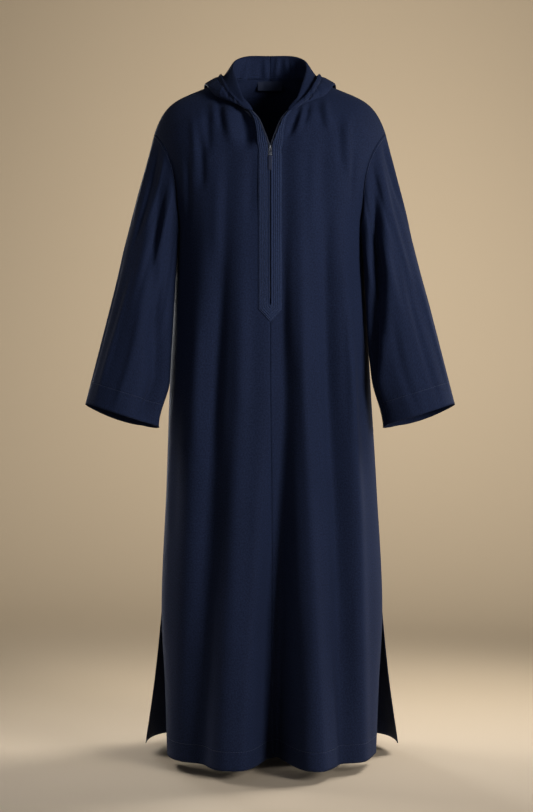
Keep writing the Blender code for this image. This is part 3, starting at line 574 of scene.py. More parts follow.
def body_grid(panel, side, columns, rows_low, rows_high, first, rows):
    """A panel's face as a grid of points, with its short creases, and its marks for the sewing."""
    up = climb(HEM, rows_low, SHOULDER_UP, rows_high)
    start = first(up)
    s = start + (SIDE_SHARE - start) * np.linspace(0, 1, columns + 1)[None, :]
    points = body_point(panel, side, s, up)
    if (panel == "front") != (side == LEFT):
        points, s = points[:, ::-1], s[:, ::-1]
    fade = ease((1 - s) / 0.05) * ease((SHOULDER_UP - up) / 0.05)
    near = ease((1 - s) / 0.12) * ease(1.4 - np.abs(up - CHEST_BAND[0]) / CHEST_BAND[1])
    for _ in range(CHEST_SOFTENING):
        points[1:-1] += (points[:-2] + points[2:] - 2 * points[1:-1]) * near[1:-1, :, None] / 4
    points = raised(points, creases(rows, points[..., 0], points[..., 2]) * fade)
    across = lengths(points, 1)
    width = across[:, -1:]
    from_side = np.where((panel == "front") == (side == LEFT), width - across, across)
    from_hem = lengths(points, 0)
    return points, (across, from_hem), {"from_side": from_side, "from_hem": from_hem}


def front_start(side):
    """Where a front's edge lies: at the centre seam, and cut back for the zip above its lower end."""
    def first(up):
        beside = (up > ZIP_END - UNDERARM + PAST) & (up < NECK_JOIN + PAST)
        return np.where(beside, share_for("front", side, up, ZIP_SEAT), share_for("front", side, up, SEAM))
    return first


front_wool = wool("front_wool", [("from_hem", HEM_DEPTH)])
fronts = {}
for name, side in (("front_left", LEFT), ("front_right", RIGHT)):
    fronts[side] = body_grid("front", side, FRONT_COLUMNS, FRONT_ROWS_LOW, FRONT_ROWS_HIGH,
                             front_start(side), FRONT_CREASES)
    piece = cloth_mesh(name + "_cloth", [fronts[side]], front_wool)
    dress(piece, name)


# Back. One wide panel of the same twill from the neck seam and the shoulders down to the hem, which
# hangs wider than the fronts and shows behind them through the side slits.
BACK_CREASES = (
    #   x      z     x      z  bow  wide  rise
    (-150,   -80, -120,  -230,   4,    9,  3.4),
    ( 146,   -90,  122,  -240,   4,    9,  3.4),
    (-168,  -150, -150,  -330,   3,  7.5, -3.6),
    ( 166,  -140,  152,  -320,   3,  7.5, -3.6),
    ( -60,  -340,  -80,  -640,   4,   14,   -3),
    (  52,  -360,   66,  -700,   4,   14,    3),
    (-130,  -480, -140,  -860,   4,   13,    3),
    ( 136,  -500,  146,  -900,   4,   13,   -3),
    (  20,  -620,   30, -1000,   3,   15,  2.8),
    ( -90,  -820,  -96, -1200,   3,   16, -2.8),
    (  96,  -860,  104, -1240,   3,   16,  2.8),
    (-186,  -700, -200, -1080,   4,   12,  2.8),
    ( 190,  -660,  204, -1060,   4,   12,  2.8),
    ( -40, -1060,  -50, -1360,   3,   16,  2.6),
    (  70, -1080,   80, -1370,   3,   16, -2.6),
    (-160, -1060, -176, -1370,   3,   15, -2.8),
)
BACK_COLUMNS, BACK_ROWS_LOW, BACK_ROWS_HIGH = 76, 170, 50

back_wool = wool("back_wool", [("from_hem", HEM_DEPTH)])


def back_start(side):
    def first(up):
        return np.where(up > 2 - NECK_BACK + PAST, share_for("back", side, up, SEAM), 0.0)
    return first


back_halves = {side: body_grid("back", side, BACK_COLUMNS, BACK_ROWS_LOW, BACK_ROWS_HIGH, back_start(side),
                               BACK_CREASES) for side in (LEFT, RIGHT)}
back = cloth_mesh("back_cloth", [back_halves[LEFT], back_halves[RIGHT]], back_wool, weld=WELD)
dress(back, "back")


# Sleeves. Each is one tube of the same twill, closed under the arm, set into the armhole with a plain
# seam and hanging wide and straight to a deep stitched hem.
CUFF_CENTRE = (0.301, -0.070, -0.700)
CUFF_ACROSS = (0.0755, 0.0, 0.0231)
CUFF_DEPTH, CUFF_TILT, CUFF_SAG, CUFF_BEND = 0.052, 0.0078, 0.0052, 1.25
SLEEVE_HUB = (0.200, -0.005)
SLEEVE_CLEAR = 0.0115
HUG, HUG_GROWTH = 0.014, 0.0175  # the lower front is carried in over the body's side
HUG_TURN, HUG_WIDTH, HUG_END = 2.5, 0.77, 0.22
SLEEVE_START = 0.0006            # the share of the way down at which the cloth starts, clear of the body
SLEEVE_HEM = 0.045               # the turned-up hem's line of stitches above the edge
ARMHOLE_ROW = 0.006              # the stitches beside the armhole seam
SLEEVE_FOLDS = (
    # turn  drift  width  rise   start  end
    (1.55,  0.10,  0.30,  0.005, 0.12, 0.9),
    (0.85, -0.10,  0.22, -0.004, 0.02, 0.6),
    (-1.40, 0.15,  0.35,  0.006, 0.05, 0.9),
    (-2.20, 0.05,  0.28, -0.007, 0.08, 1.0),
)
# Deep folds where the inner side of each sleeve turns back towards the body, on top of the shared ones
INNER_FOLDS = {
    LEFT: (
        (0.78,  1.85,  0.24,  0.005, -0.05, 0.70),
        (1.18,  1.85,  0.27, -0.024, 0.00, 0.92),
    ),
    RIGHT: (
        (0.85,  1.75,  0.30, -0.014, 0.02, 0.92),
        (2.00,  0.40,  0.36, -0.014, 0.00, 0.95),
    ),
}
# Short creases, in thousandths of turn / 5 and of the way down, so that both are much the same length
SLEEVE_CREASES = {
    LEFT: (
        # from across and down, to across and down, then bow, width and rise
        (  60, -50,   40,  420,  12,   20,    3),
        ( 110, -40,   90,  300,  10,   16,   -3),
        ( 170, -30,  150,  620,  16,   22,  3.6),
        ( 230, -30,  215,  360,  10,   16, -3.6),
        ( 290,  20,  270,  740,  14,   22,    3),
        ( 350, -20,  340,  500,  12,   18, -3.4),
        ( 430,  80,  400,  800,  12,   22,  3.4),
        ( 200, 420,  190, 1040,  12,   20,   -3),
        (  90, 460,   80, 1020,  10,   18,  2.8),
        ( 330, 520,  318, 1060,  12,   20, -3.4),
        (   0, 100,   10,  660,  10,   24, -2.4),
        (-120, -30, -100,  550,  12,   20,  3.2),
        (-220,  60, -200,  800,  12,   22, -3.6),
        (-330, -30, -320,  600,  12,   20,  3.2),
        (-430, 100, -420,  860,  12,   22,   -3),
    ),
    RIGHT: (
        (  70, -50,   50,  360,  12,   18,  2.8),
        ( 130, -40,  115,  480,  12,   18, -3.6),
        ( 200, -30,  170,  340,  10,   16,  3.4),
        ( 250, -20,  240,  660,  14,   20, -3.2),
        ( 310,   0,  300,  460,  12,   18,  3.2),
        ( 370,  40,  365,  840,  12,   20, -3.4),
        ( 450, 100,  430,  700,  12,   22,    3),
        ( 160, 400,  150, 1040,  12,   20,  3.2),
        ( 290, 520,  276, 1040,  12,   18,  2.8),
        (  50, 400,   46, 1000,  10,   20, -2.8),
        ( -10,  60,    0,  600,  10,   24,  2.2),
        (-140, -30, -120,  620,  12,   20, -3.2),
        (-240,  60, -220,  740,  12,   22,  3.4),
        (-340, -30, -330,  520,  12,   20, -3.2),
        (-440, 100, -420,  900,  12,   22,  2.8),
    ),
}
SLEEVE_COLUMNS, SLEEVE_ROWS = 128, 120


def cuff(side, turn):
    deep = np.sign(np.sin(turn)) * np.abs(np.sin(turn)) ** CUFF_BEND
    rise = CUFF_TILT * np.sin(turn) - CUFF_SAG * np.sin(turn) ** 2
    return stack(side * (CUFF_CENTRE[0] + CUFF_ACROSS[0] * np.cos(turn)), CUFF_CENTRE[1] - CUFF_DEPTH * deep,
                 CUFF_CENTRE[2] + CUFF_ACROSS[2] * np.cos(turn) + rise)


def sleeve_point(side, turn, down):
    """down is 0 at the armhole and 1 at the cuff."""
    share = down[..., None]
    middle = armhole(side, turn) * (1 - share) + cuff(side, turn) * share
    top = np.array([side * SLEEVE_HUB[0], SLEEVE_HUB[1], (SHOULDER_TIP[2] + UNDERARM) / 2])
    hub = top * (1 - share) + np.array([side * CUFF_CENTRE[0], *CUFF_CENTRE[1:]]) * share
    rise = 0.0
    for at, drift, width, height, start, end in SLEEVE_FOLDS + INNER_FOLDS[side]:
        off = (turn - at - drift * down + np.pi) % (2 * np.pi) - np.pi
        grown = ease((down - start) / 0.25) * ease((end + 0.25 - down) / 0.3)
        rise = rise + height * grown * np.exp(-(off / width) ** 2)
    under = ((1 - np.cos(turn)) / 2) ** 2
    clear = SLEEVE_CLEAR * under * ease(down / 0.13) * np.sqrt(1 - down)
    off = (turn - HUG_TURN + np.pi) % (2 * np.pi) - np.pi
    hug = (HUG * ease(down / 0.1) + HUG_GROWTH * down) * np.exp(-(off / HUG_WIDTH) ** 2)
    hug = hug * ease((1 - down) / HUG_END)
    return middle + unit(middle - hub) * rise[..., None] + stack(side * (clear - hug), 0, 0)


def sleeve_grid(side):
    turn = np.linspace(-np.pi, np.pi, SLEEVE_COLUMNS + 1)[None, :] * side
    down = np.linspace(SLEEVE_START, 1, SLEEVE_ROWS + 1)[:, None]
    turn, down = np.broadcast_arrays(turn, down)
    fade = ease(down / 0.05) * ease((np.pi - np.abs(turn)) / 0.35)
    points = raised(sleeve_point(side, turn, down), creases(SLEEVE_CREASES[side], turn / 5, down) * fade)
    along = lengths(points, 0)
    marks = {"from_cuff": along[-1:] - along, "from_armhole": along}
    return points, (lengths(points, 1), along), marks


sleeve_wool = wool("sleeve_wool", [("from_cuff", SLEEVE_HEM), ("from_armhole", ARMHOLE_ROW)])
sleeves = {side: sleeve_grid(side) for side in (LEFT, RIGHT)}
for name, side in (("sleeve_left", LEFT), ("sleeve_right", RIGHT)):
    piece = cloth_mesh(name + "_cloth", [sleeves[side]], sleeve_wool, weld=WELD)
    dress(piece, name)


# Hood. Two halves of the same twill, joined up the centre back and sewn on round the neck. It stands up from
# the seam, rolls over, and lies folded down as a bag, with its two mouth edges as flaps over the shoulders.
HOOD = table(
    "place roll_x roll_y roll_z tuck_x tuck_y tuck_z fold_x fold_y fold_z rim_x rim_y rim_z full outer top",
    (0.0,  0.0485, -0.0880, -0.0630, 0.0565, -0.0950, -0.0660, 0.0600, -0.0985, -0.0740, 0.0545, -0.1010,
     -0.0690, 0.10, 0.0084, 0.0112),
    (0.20, 0.0570, -0.0770, -0.0500, 0.0660, -0.0820, -0.0560, 0.0850, -0.0850, -0.0620, 0.0735, -0.0860,
     -0.0500, 0.10, 0.0105, 0.0160),
    (0.38, 0.0680, -0.0400, -0.0120, 0.0830, -0.0480, -0.0230, 0.1130, -0.0580, -0.0450, 0.0880, -0.0560,
     -0.0270, 0.08, 0.0110, 0.0185),
    (0.55, 0.0745, 0.0050, 0.0250, 0.0965, 0.0020, 0.0020, 0.1290, -0.0120, -0.0200, 0.0990, -0.0180,
     0.0040, 0.03, 0.0090, 0.0125),
    (0.70, 0.0680, 0.0480, 0.0510, 0.0915, 0.0600, 0.0140, 0.1225, 0.0720, -0.0600, 0.1025, 0.0560,
     0.0215, 0.03, 0.012, 0.014),
    (0.85, 0.0400, 0.0780, 0.0640, 0.0560, 0.1000, 0.0300, 0.0760, 0.1300, -0.2000, 0.0660, 0.1220,
     0.0240, 0.10, 0.017, 0.022),
    (1.0, 0.0, 0.0860, 0.0660, 0.0, 0.1100, 0.0300, 0.0, 0.1500, -0.3250, 0.0, 0.1480, 0.0160, 0.10, 0.017,
     0.022),
)
HOOD_CLEAR = 0.0034
FOLD_TURN, TUCK_CLEAR, FOLD_CLEAR = 0.0036, 0.0048, 0.0052
HOOD_SPAN = (0.42, 0.30)         # about how long the hood is round the neck, and from the seam to the mouth
HOOD_COLUMNS, HOOD_ROWS = 96, 120
HOOD_SHOULDER = 0.55             # the place round the hood that lies on the shoulder seam
LIP_RISE, LIP_WIDTH = 0.0014, 0.0062      # the turned edge of the mouth
GROOVE_DEEP, GROOVE_AT, GROOVE_WIDTH = 0.0012, 0.0095, 0.0024
MOUTH_ROW = 0.0085               # the stitches along the hood's mouth
HOOD_CREASES = {                 # in millimetres round the neck and up from the seam
    LEFT: (
        # from round and up, to round and up, then bow, width and rise
        (395, -10, 394,  75,   1,  4.6, -3.4),
        (386, -10, 385,  70,   1,    4,  2.2),
        (372, -10, 370,  70,  -1,  4.2, -3.6),
        (353, -10, 349,  60,   1,  4.4, -3.4),
        (337, -10, 333,  60,   1,    5,  2.6),
        ( 20, 215,  75, 285,   3,    6,  1.8),
        ( 45, 210, 110, 280,   3,  5.5, -1.8),
        ( 75, 215, 140, 290,   3,    6,  1.8),
        (110, 205, 170, 285,   3,  5.5, -1.4),
        (300, 100, 280, 240,   6,   12,  3.4),
        (340, 110, 330, 260,   6,   11, -3.4),
        (380, 120, 384, 250,   6,   11,    3),
    ),
    RIGHT: (
        (402, -10, 401,  70,   1,  4.2, -3.4),
        (386, -10, 388,  60,   1,  5.2,  2.2),
        (349, -10, 346,  65,  -1,  4.6, -3.6),
        (328, -10, 326,  55,   1,  4.5,  2.6),
        ( 30, 215,  80, 290,   2,  5.5,  1.4),
        ( 70, 210, 130, 290,   3,    6, -1.6),
        (115, 205, 165, 280,   3,    6,  1.6),
        (290, 110, 270, 250,   6,   12, -3.4),
        (330, 100, 318, 250,   6,   11,  3.4),
        (372, 130, 376, 260,   6,   11,   -3),
    ),
}


def body_samples():
    """Points and outward normals all over the body, for holding the hood off it."""
    spots, normals = [], []
    for panel in ("front", "back"):
        for side in (LEFT, RIGHT):
            up, s = np.meshgrid(np.linspace(-0.5, 1.0, 180), np.linspace(0.001, 1.0, 90), indexing="ij")
            points = body_point(panel, side, s, up)
            sign = 1 if (panel == "front") == (side == LEFT) else -1
            spots.append(points.reshape(-1, 3))
            normals.append((outward(points) * sign).reshape(-1, 3))
    return np.concatenate(spots), np.concatenate(normals)


sample_spots, sample_normals = body_samples()
body_tree = KDTree(len(sample_spots))
for k, spot in enumerate(sample_spots):
    body_tree.insert(spot, k)
body_tree.balance()


def lift_off(points, clear):
    """Moves each point outwards until it lies at least this clear of the body's face."""
    flat = points.reshape(-1, 3)
    near = np.array([body_tree.find(point)[1] for point in flat])
    short = clear - np.sum((flat - sample_spots[near]) * sample_normals[near], axis=1)
    return (flat + sample_normals[near] * np.maximum(short, 0)[:, None]).reshape(points.shape)


def spline(points, t):
    """A smooth curve through the middle of its points, from the first to the last."""
    padded = np.array([points[0]] * 2 + list(points) + [points[-1]] * 2)
    spans = len(padded) - 3
    at = np.minimum(t * spans, spans - 1e-9)
    i = at.astype(int)
    f = (at - i)[:, None]
    weights = ((1 - f) ** 3, 3 * f ** 3 - 6 * f ** 2 + 4, -3 * f ** 3 + 3 * f ** 2 + 3 * f + 1, f ** 3)
    return sum(padded[i + k] * w / 6 for k, w in enumerate(weights))


def hood_section(place, along):
    """One section of the left half, from the neck seam over the roll and the bag's fold to the mouth."""
    def mark(name):
        return np.array([float(read(HOOD, name + axis, place)) for axis in ("_x", "_y", "_z")])

    def lift(point, clear):
        return lift_off(point[None], clear)[0]

    def between(first, last, share):
        return first + (last - first) * share

    if place < HOOD_SHOULDER:
        station = NECK_JOIN + (1 - NECK_JOIN) * place / HOOD_SHOULDER
    else:
        station = 1 + (NECK_BACK - 1) * (place - HOOD_SHOULDER) / (1 - HOOD_SHOULDER)
    upwards = np.array([0, 0, 1.0])
    seam = neck_edge(LEFT, np.array(station)) + upwards * 0.0005
    roll, tuck, fold, rim = mark("roll"), mark("tuck"), mark("fold"), mark("rim")
    away = unit((fold - seam) * (1, 1, 0))
    deep = np.linalg.norm(fold - tuck)
    turn = min(FOLD_TURN, 0.3 * deep)
    bulge = away * deep * float(read(HOOD, "full", place))
    grown = 0.6 + 0.4 * float(ease(place / 0.3))
    tuck, fold = lift(tuck, TUCK_CLEAR * grown), lift(fold, FOLD_CLEAR * grown)
    inside = lift(fold + (upwards - away) * turn, FOLD_CLEAR * grown)
    outside = lift(fold + (upwards + away) * turn, float(read(HOOD, "outer", place)))
    rim = lift(rim, float(read(HOOD, "top", place)))
    points = [seam, between(seam, roll, 0.5), roll, roll + (tuck - seam) * 0.45 + upwards * 0.001, tuck,
              between(tuck, inside, 0.35), between(tuck, inside, 0.7), inside, fold - upwards * turn * 0.4,
              outside, between(outside, rim, 0.35) + bulge, between(outside, rim, 0.7) + bulge * 0.8, rim]
    return spline(points, along)


def smoothed(points, times):
    """A grid with its rows and columns averaged with their neighbours, its four edges kept."""
    points = points.copy()
    for _ in range(times):
        points[:, 1:-1] += (points[:, :-2] + points[:, 2:] - 2 * points[:, 1:-1]) / 4
        points[1:-1] += (points[:-2] + points[2:] - 2 * points[1:-1]) / 4
    return points


places = np.linspace(0, 1, HOOD_COLUMNS + 1)
alongs = np.linspace(0, 1, HOOD_ROWS + 1)
hood_base = np.stack([hood_section(place, alongs) for place in places], 1)
hood_base[alongs > 0.05] = lift_off(hood_base[alongs > 0.05], HOOD_CLEAR)
hood_base[0, :, 2] += 0.0006 * np.sin(np.pi * np.minimum(places / HOOD_SHOULDER, 1))
hood_base[:, -1, 0] = SEAM
hood_base = smoothed(hood_base, 2)
# The flap's tip is closed: its last sections draw in towards the neck seam and on down the V's edge
TIP_SECTIONS, TIP_REACH = 10, 0.016
TIP_OFF = (0.0016, -0.0024, 0.0006)
neck_join = neck_edge(LEFT, np.array(NECK_JOIN))
tip_way = unit(neck_edge(LEFT, np.array(NECK_JOIN - 0.06)) - neck_join)
shares = np.linspace(1, 0, TIP_SECTIONS + 1)[:-1]
tip_foot = neck_join + np.array(TIP_OFF)
tips = [tip_foot + (hood_base[:, 0] - tip_foot) * math.sqrt(1 - share ** 2 * 0.9999)
        + tip_way * TIP_REACH * share for share in shares]
hood_base = np.concatenate([np.stack(tips, 1), hood_base], 1)
places = np.concatenate([np.zeros(TIP_SECTIONS), places])


def hood_grid(side):
    base = hood_base * (side, 1, 1)
    place, along = np.broadcast_arrays(places[None, :], alongs[:, None])
    if side == RIGHT:
        base, place = base[:, ::-1], place[:, ::-1]
    up = lengths(base, 0)
    to_rim = up[-1:] - up
    fade = ease(along / 0.06) * ease((1 - place) / 0.03)
    rise = creases(HOOD_CREASES[side], place * HOOD_SPAN[0], along * HOOD_SPAN[1]) * fade
    lip = LIP_RISE * ease((LIP_WIDTH - to_rim) / 0.002)
    lip = lip - GROOVE_DEEP * np.exp(-((to_rim - GROOVE_AT) / GROOVE_WIDTH) ** 2)
    points = raised(base, rise + lip * ease(place / 0.05))
    across = lengths(points, 1)
    from_back = across[:, -1:] - across if side == LEFT else across
    return points, (across, up), {"to_rim": to_rim, "from_seam": up, "from_back": from_back}


hood_wool = wool("hood_wool", [("to_rim", MOUTH_ROW)])
hoods = {side: hood_grid(side) for side in (LEFT, RIGHT)}
for name, side in (("hood_left", LEFT), ("hood_right", RIGHT)):
    piece = cloth_mesh(name + "_cloth", [hoods[side]], hood_wool)
    dress(piece, name)


# Placket. A strip of the same wool, painted a little lighter as painted light where it catches more light
# than the fronts, laid over both sides of the zip and ribbed with rows of topstitching that follow its
# pointed end. It is folded in at the outer edge and beaded at the zip.
PLACKET_CORNER = -0.487
PLACKET_TIP = -0.5126
PLACKET_HALF, PLACKET_NECK_HALF, PLACKET_THICK = 0.0235, 0.0060, 0.0010
RIB_WIDTH, RIB_DEEP = 0.0008, 0.00055
BEAD_AT, BEAD_WIDTH, BEAD_RISE = 0.0014, 0.0009, 0.0006
SLOT_HALF, SLOT_OPEN, SLOT_END = 0.0012, 0.0042, -0.4795
SLIDER_ROW = 0.31
PLACKET_ROWS, PLACKET_COLUMNS = 150, 44
STITCH_ROWS = (0.0020, 0.0060, 0.0100, 0.0140, 0.0180)    # topstitching, in from the folded edge


def strip_width(up):
    narrowed = ease((up - V_FOOT) / (NECK_JOIN - V_FOOT))
    return PLACKET_HALF - (PLACKET_HALF - PLACKET_NECK_HALF) * narrowed


def placket_grid(side):
    up = climb(PLACKET_TIP, PLACKET_ROWS, NECK_JOIN, PLACKET_ROWS)
    z = UNDERARM + np.minimum(up, 0)
    taper = np.clip((z - PLACKET_TIP) / (PLACKET_CORNER - PLACKET_TIP), 0.004, 1)
    outer = strip_width(up) * taper
    inner = SLOT_HALF * ease((z - SLOT_END) / 0.004)
    inner = inner + (SLOT_OPEN - SLOT_HALF) * ease((up - SLIDER_ROW + 0.02) / 0.012)
    inner = inner - 0.0010 * ease((up - V_FOOT - 0.01) / 0.03)
    steps = np.linspace(0, 1, PLACKET_COLUMNS + 1)[None, :]
    distance = inner + (outer - inner) * steps
    s = share_for("front", side, up, distance)
    points = body_point("front", side, s, up)
    points[..., 0] = np.where(up <= V_FOOT, side * distance, points[..., 0])
    if side == RIGHT:
        points, distance = points[:, ::-1], distance[:, ::-1]
    slope = math.hypot(PLACKET_HALF, PLACKET_CORNER - PLACKET_TIP)
    tip = ((z - PLACKET_TIP) * PLACKET_HALF - distance * (PLACKET_CORNER - PLACKET_TIP)) / slope
    edge = np.where(up < 0, np.minimum(outer / taper - distance, tip), outer - distance)
    sunk = sum(np.exp(-((edge - row) / RIB_WIDTH) ** 2) for row in STITCH_ROWS)
    bead = np.exp(-((distance - inner - BEAD_AT) / BEAD_WIDTH) ** 2) * ease((z - SLOT_END) / 0.01)
    rolled = ease(edge / 0.0012)
    lift = GAP + PLACKET_THICK * (0.55 + 0.45 * rolled) + RIB_DEEP * (1 - sunk) * rolled + BEAD_RISE * bead
    points = raised(points, lift)
    threads = (np.broadcast_to(side * distance, points.shape[:2]), lengths(points, 0))
    return points, threads, {"edge": edge, "beside": distance - inner}


# Its colour is painted lighter than the fronts' wool: painted light where the placket catches more light.
placket_wool_painted_light = wool("placket_wool_painted_light", [("edge", row) for row in STITCH_ROWS], (0.0175, 0.0285, 0.0720), 0.7)
placket_sides = [placket_grid(side) for side in (LEFT, RIGHT)]
placket = cloth_mesh("placket_strip", placket_sides, placket_wool_painted_light, PLACKET_THICK, weld=WELD)
dress(placket, "placket")


# Zip. Two woven tapes sewn behind the fronts' edges, with moulded teeth that are closed up the placket and
# part where the slider stands, at the foot of the open V.
TAPE_THICK, TAPE_WIDTH = 0.0008, 0.012
TOOTH_PITCH = 0.0015
TAPE_ROWS, TAPE_COLUMNS = 80, 8

tape_cloth, tape_shader = finish("tape_weave", (0.012, 0.016, 0.035), 0.74, Specular_IOR_Level=0.3)
tape_threads = coordinates(tape_shader, "UV")
tape_across, tape_along, _ = tape_threads.parts()
tape_rows = (tape_along * 7800).sine() * 0.5 + (tape_across * 9000).sine() * 0.3
tape_mottle = tape_threads.noise(900)
feed(tape_shader, "Normal", tape_rows.bump(0.5, 0.0003))
feed(tape_shader, "Base Color", tape_mottle.mixed((0.008, 0.011, 0.025), (0.020, 0.026, 0.052)))


def tape_line(side, up, distance):
    """Points on the outer face of a tape, behind the front's wall."""
    s = share_for("front", side, up, np.maximum(distance, SEAM))
    points = body_point("front", side, s, up)
    points[..., 0] = np.where(up <= V_FOOT, side * distance, points[..., 0])
    return points


tape_up = climb(ZIP_END, TAPE_ROWS, NECK_JOIN, TAPE_ROWS)
tape_edges = {}
for name, side in (("zip_tape_left", LEFT), ("zip_tape_right", RIGHT)):
    distance = np.linspace(SEAM, TAPE_WIDTH, TAPE_COLUMNS + 1)[None, :]
    points = tape_line(side, tape_up, distance)
    distance = np.broadcast_to(distance, points.shape[:2])
    if side == RIGHT:
        points, distance = points[:, ::-1], distance[:, ::-1]
    normals = outward(points)
    points = points - normals * (WALL + GAP)
    inner = 0 if side == LEFT else -1
    tape_edges[side] = (points[:, inner], normals[:, inner])
    tape = cloth_mesh(name + "_weave", [(points, (distance * side, lengths(points, 0)), {})], tape_cloth,
                      TAPE_THICK)
    dress(tape, name)


def walk(points, spacing, start=0.0):
    """Places along a line of points at even distances, as (index, share) pairs to read other rows with."""
    run = np.concatenate([[0], np.cumsum(np.linalg.norm(np.diff(points, axis=0), axis=1))])
    at = np.arange(start, run[-1], spacing)
    i = np.clip(np.searchsorted(run, at, side="right") - 1, 0, len(run) - 2)
    return i, (at - run[i]) / np.maximum(run[i + 1] - run[i], 1e-9)


def along_line(values, steps):
    i, share = steps
    return values[i] + (values[i + 1] - values[i]) * share[:, None]


def row_of(name, spots, faces, material):
    """A row of like blocks as one piece, from each corner's places along the row and one block's faces."""
    spots = np.stack(spots, 1)
    faces = (np.arange(len(spots))[:, None, None] * spots.shape[1] + faces).reshape(-1, 4)
    data = bpy.data.meshes.new(name)
    data.from_pydata(spots.reshape(-1, 3).tolist(), [], faces.tolist())
    data.materials.append(material)
    return add_object(name, data)


TOOTH_FACES = np.array([(0, 1, 5, 4), (1, 2, 6, 5), (2, 3, 7, 6), (3, 0, 4, 7), (4, 5, 6, 7), (3, 2, 1, 0)])
TOOTH_DEEP, TOOTH_BACK, TOOTH_REACH, TOOTH_HALF = 0.0010, -0.0017, 0.0011, 0.00050
zip_moulded, zip_shader = finish("zip_moulded", (0.022, 0.028, 0.050), 0.42, Specular_IOR_Level=0.5)
# A random mottle over the teeth, whose lighter spots are painted glints that stand in for teeth catching the
# light; it also varies the roughness.
zip_mottle_and_glints = coordinates(zip_shader).noise(700)
feed(zip_shader, "Roughness", zip_mottle_and_glints * 0.3 + 0.25)
feed(zip_shader, "Base Color", zip_mottle_and_glints.mixed((0.020, 0.028, 0.058), (0.075, 0.090, 0.140)))


def teeth(name, side):
    """Blocks along a tape's edge, half a pitch on from the other side's so that they close."""
    edge, normals = tape_edges[side]
    steps = walk(edge, TOOTH_PITCH, TOOTH_PITCH / 4 * (1 + 2 * (side == LEFT)))
    middle, out = along_line(edge, steps), unit(along_line(normals, steps))
    up = unit(along_line(np.gradient(edge, axis=0), steps))
    inwards = unit(np.cross(up, out)) * side
    inwards = inwards * np.sign(np.sum(inwards * (-side, 0, 0), axis=1, keepdims=True) + 1e-9)
    spots = []
    for depth, grow in ((-TOOTH_DEEP, 1.0), (TOOTH_DEEP, 0.72)):
        for across, along in ((TOOTH_BACK, -1), (TOOTH_REACH, -1), (TOOTH_REACH, 1), (TOOTH_BACK, 1)):
            spots.append(middle + inwards * across * grow + up * along * TOOTH_HALF * grow + out * depth)
    row = row_of(name, spots, TOOTH_FACES, zip_moulded)
    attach(row, "garment")


teeth("teeth_left", LEFT)
teeth("teeth_right", RIGHT)


# Slider. A plated steel body that closes the teeth, with the bridge over its face that holds the pull.
# It stays at the foot of the V, where the photograph shows it.
SLIDER_UP = Vector((0, 0.1065, 0.9943)).normalized()
SLIDER_OUT = Vector((0, -SLIDER_UP.z, SLIDER_UP.y))
PIVOT = Vector((0, -0.127673, -0.16396))
PIVOT_OUT, PIVOT_RISE = 0.0036, 0.0022    # the pivot in the slider's own axes
SLIDER_LOW, SLIDER_HIGH, SLIDER_HALF = -0.0025, 0.0090, 0.0036
PLATE_FACE = 0.0026

metal, metal_shader = finish("gunmetal_plate", (0.30, 0.31, 0.34), 0.30, Metallic=1.0)
metal_place = coordinates(metal_shader)
scuffs = metal_place.stretched(1, 1, 0.3).noise(900, 3.0, 0.6)
feed(metal_shader, "Roughness", scuffs * 0.30 + 0.16)
feed(metal_shader, "Base Color", metal_place.noise(220).mixed((0.20, 0.22, 0.27), (0.50, 0.54, 0.62)))
feed(metal_shader, "Normal", scuffs.bump(0.2, 0.0001))

slider_frame = Matrix(((-1, 0, 0), SLIDER_OUT, SLIDER_UP)).transposed().to_4x4()
slider_frame.translation = PIVOT - SLIDER_OUT * PIVOT_OUT - SLIDER_UP * PIVOT_RISE
pull_frame = slider_frame.copy()
pull_frame.translation = PIVOT


def plate(mesh, outline, low, high):
    """A flat plate from an outline in x and z, between two depths y, in the given bmesh."""
    face = mesh.faces.new([mesh.verts.new((x, low, z)) for x, z in outline])
    grown = bmesh.ops.extrude_face_region(mesh, geom=[face])
    for item in grown["geom"]:
        if isinstance(item, bmesh.types.BMVert):
            item.co.y = high


def rounded(half, low, high, corner, steps=5):
    """A rectangle's outline with round corners."""
    points = []
    for cx, cz, start in ((half - corner, high - corner, 0), (corner - half, high - corner, 90),
                          (corner - half, low + corner, 180), (half - corner, low + corner, 270)):
        points += [(cx + corner * math.cos(math.radians(start + 90 * k / steps)),
                    cz + corner * math.sin(math.radians(start + 90 * k / steps))) for k in range(steps + 1)]
    return points


def hard_piece(name, mesh, place, material, bevel, node, body):
    bmesh.ops.recalc_face_normals(mesh, faces=mesh.faces)
    mesh.transform(place)
    data = bpy.data.meshes.new(name)
    mesh.to_mesh(data)
    mesh.free()
    data.shade_smooth()
    data.materials.append(material)
    piece = add_object(name, data)
    if bevel:
        edge = piece.modifiers.new("edge", "BEVEL")
        edge.width, edge.segments, edge.limit_method, edge.angle_limit = bevel, 3, "ANGLE", 0.6
        piece.modifiers.new("flat", "WEIGHTED_NORMAL")
    dress(piece, node, body)
    return piece


def ring(mesh, middle, first, second, radius, sides):
    """The corners of a ring in the plane of two directions."""
    return [mesh.verts.new(middle + first * radius * math.cos(a) + second * radius * math.sin(a))
            for a in (2 * math.pi * j / sides for j in range(sides))]


def join_rings(mesh, rings):
    """The skin of a round bar through its rings, closed at both ends."""
    for one, following in zip(rings, rings[1:]):
        for j in range(len(one)):
            k = (j + 1) % len(one)
            mesh.faces.new((one[j], one[k], following[k], following[j]))
    mesh.faces.new(rings[0])
    mesh.faces.new(rings[-1])


def tube(mesh, points, radius, sides=10):
    """A round wire through points."""
    points = [Vector(p) for p in points]
    rings = []
    for k, point in enumerate(points):
        way = (points[min(k + 1, len(points) - 1)] - points[max(k - 1, 0)]).normalized()
        first = way.cross(Vector((1, 0, 0)) if abs(way.x) < 0.8 else Vector((0, 1, 0))).normalized()
        rings.append(ring(mesh, point, first, way.cross(first), radius, sides))
    join_rings(mesh, rings)


def arc(points, count=24):
    """A smooth run through a few points."""
    return spline([Vector(p) for p in points], np.linspace(0, 1, count))


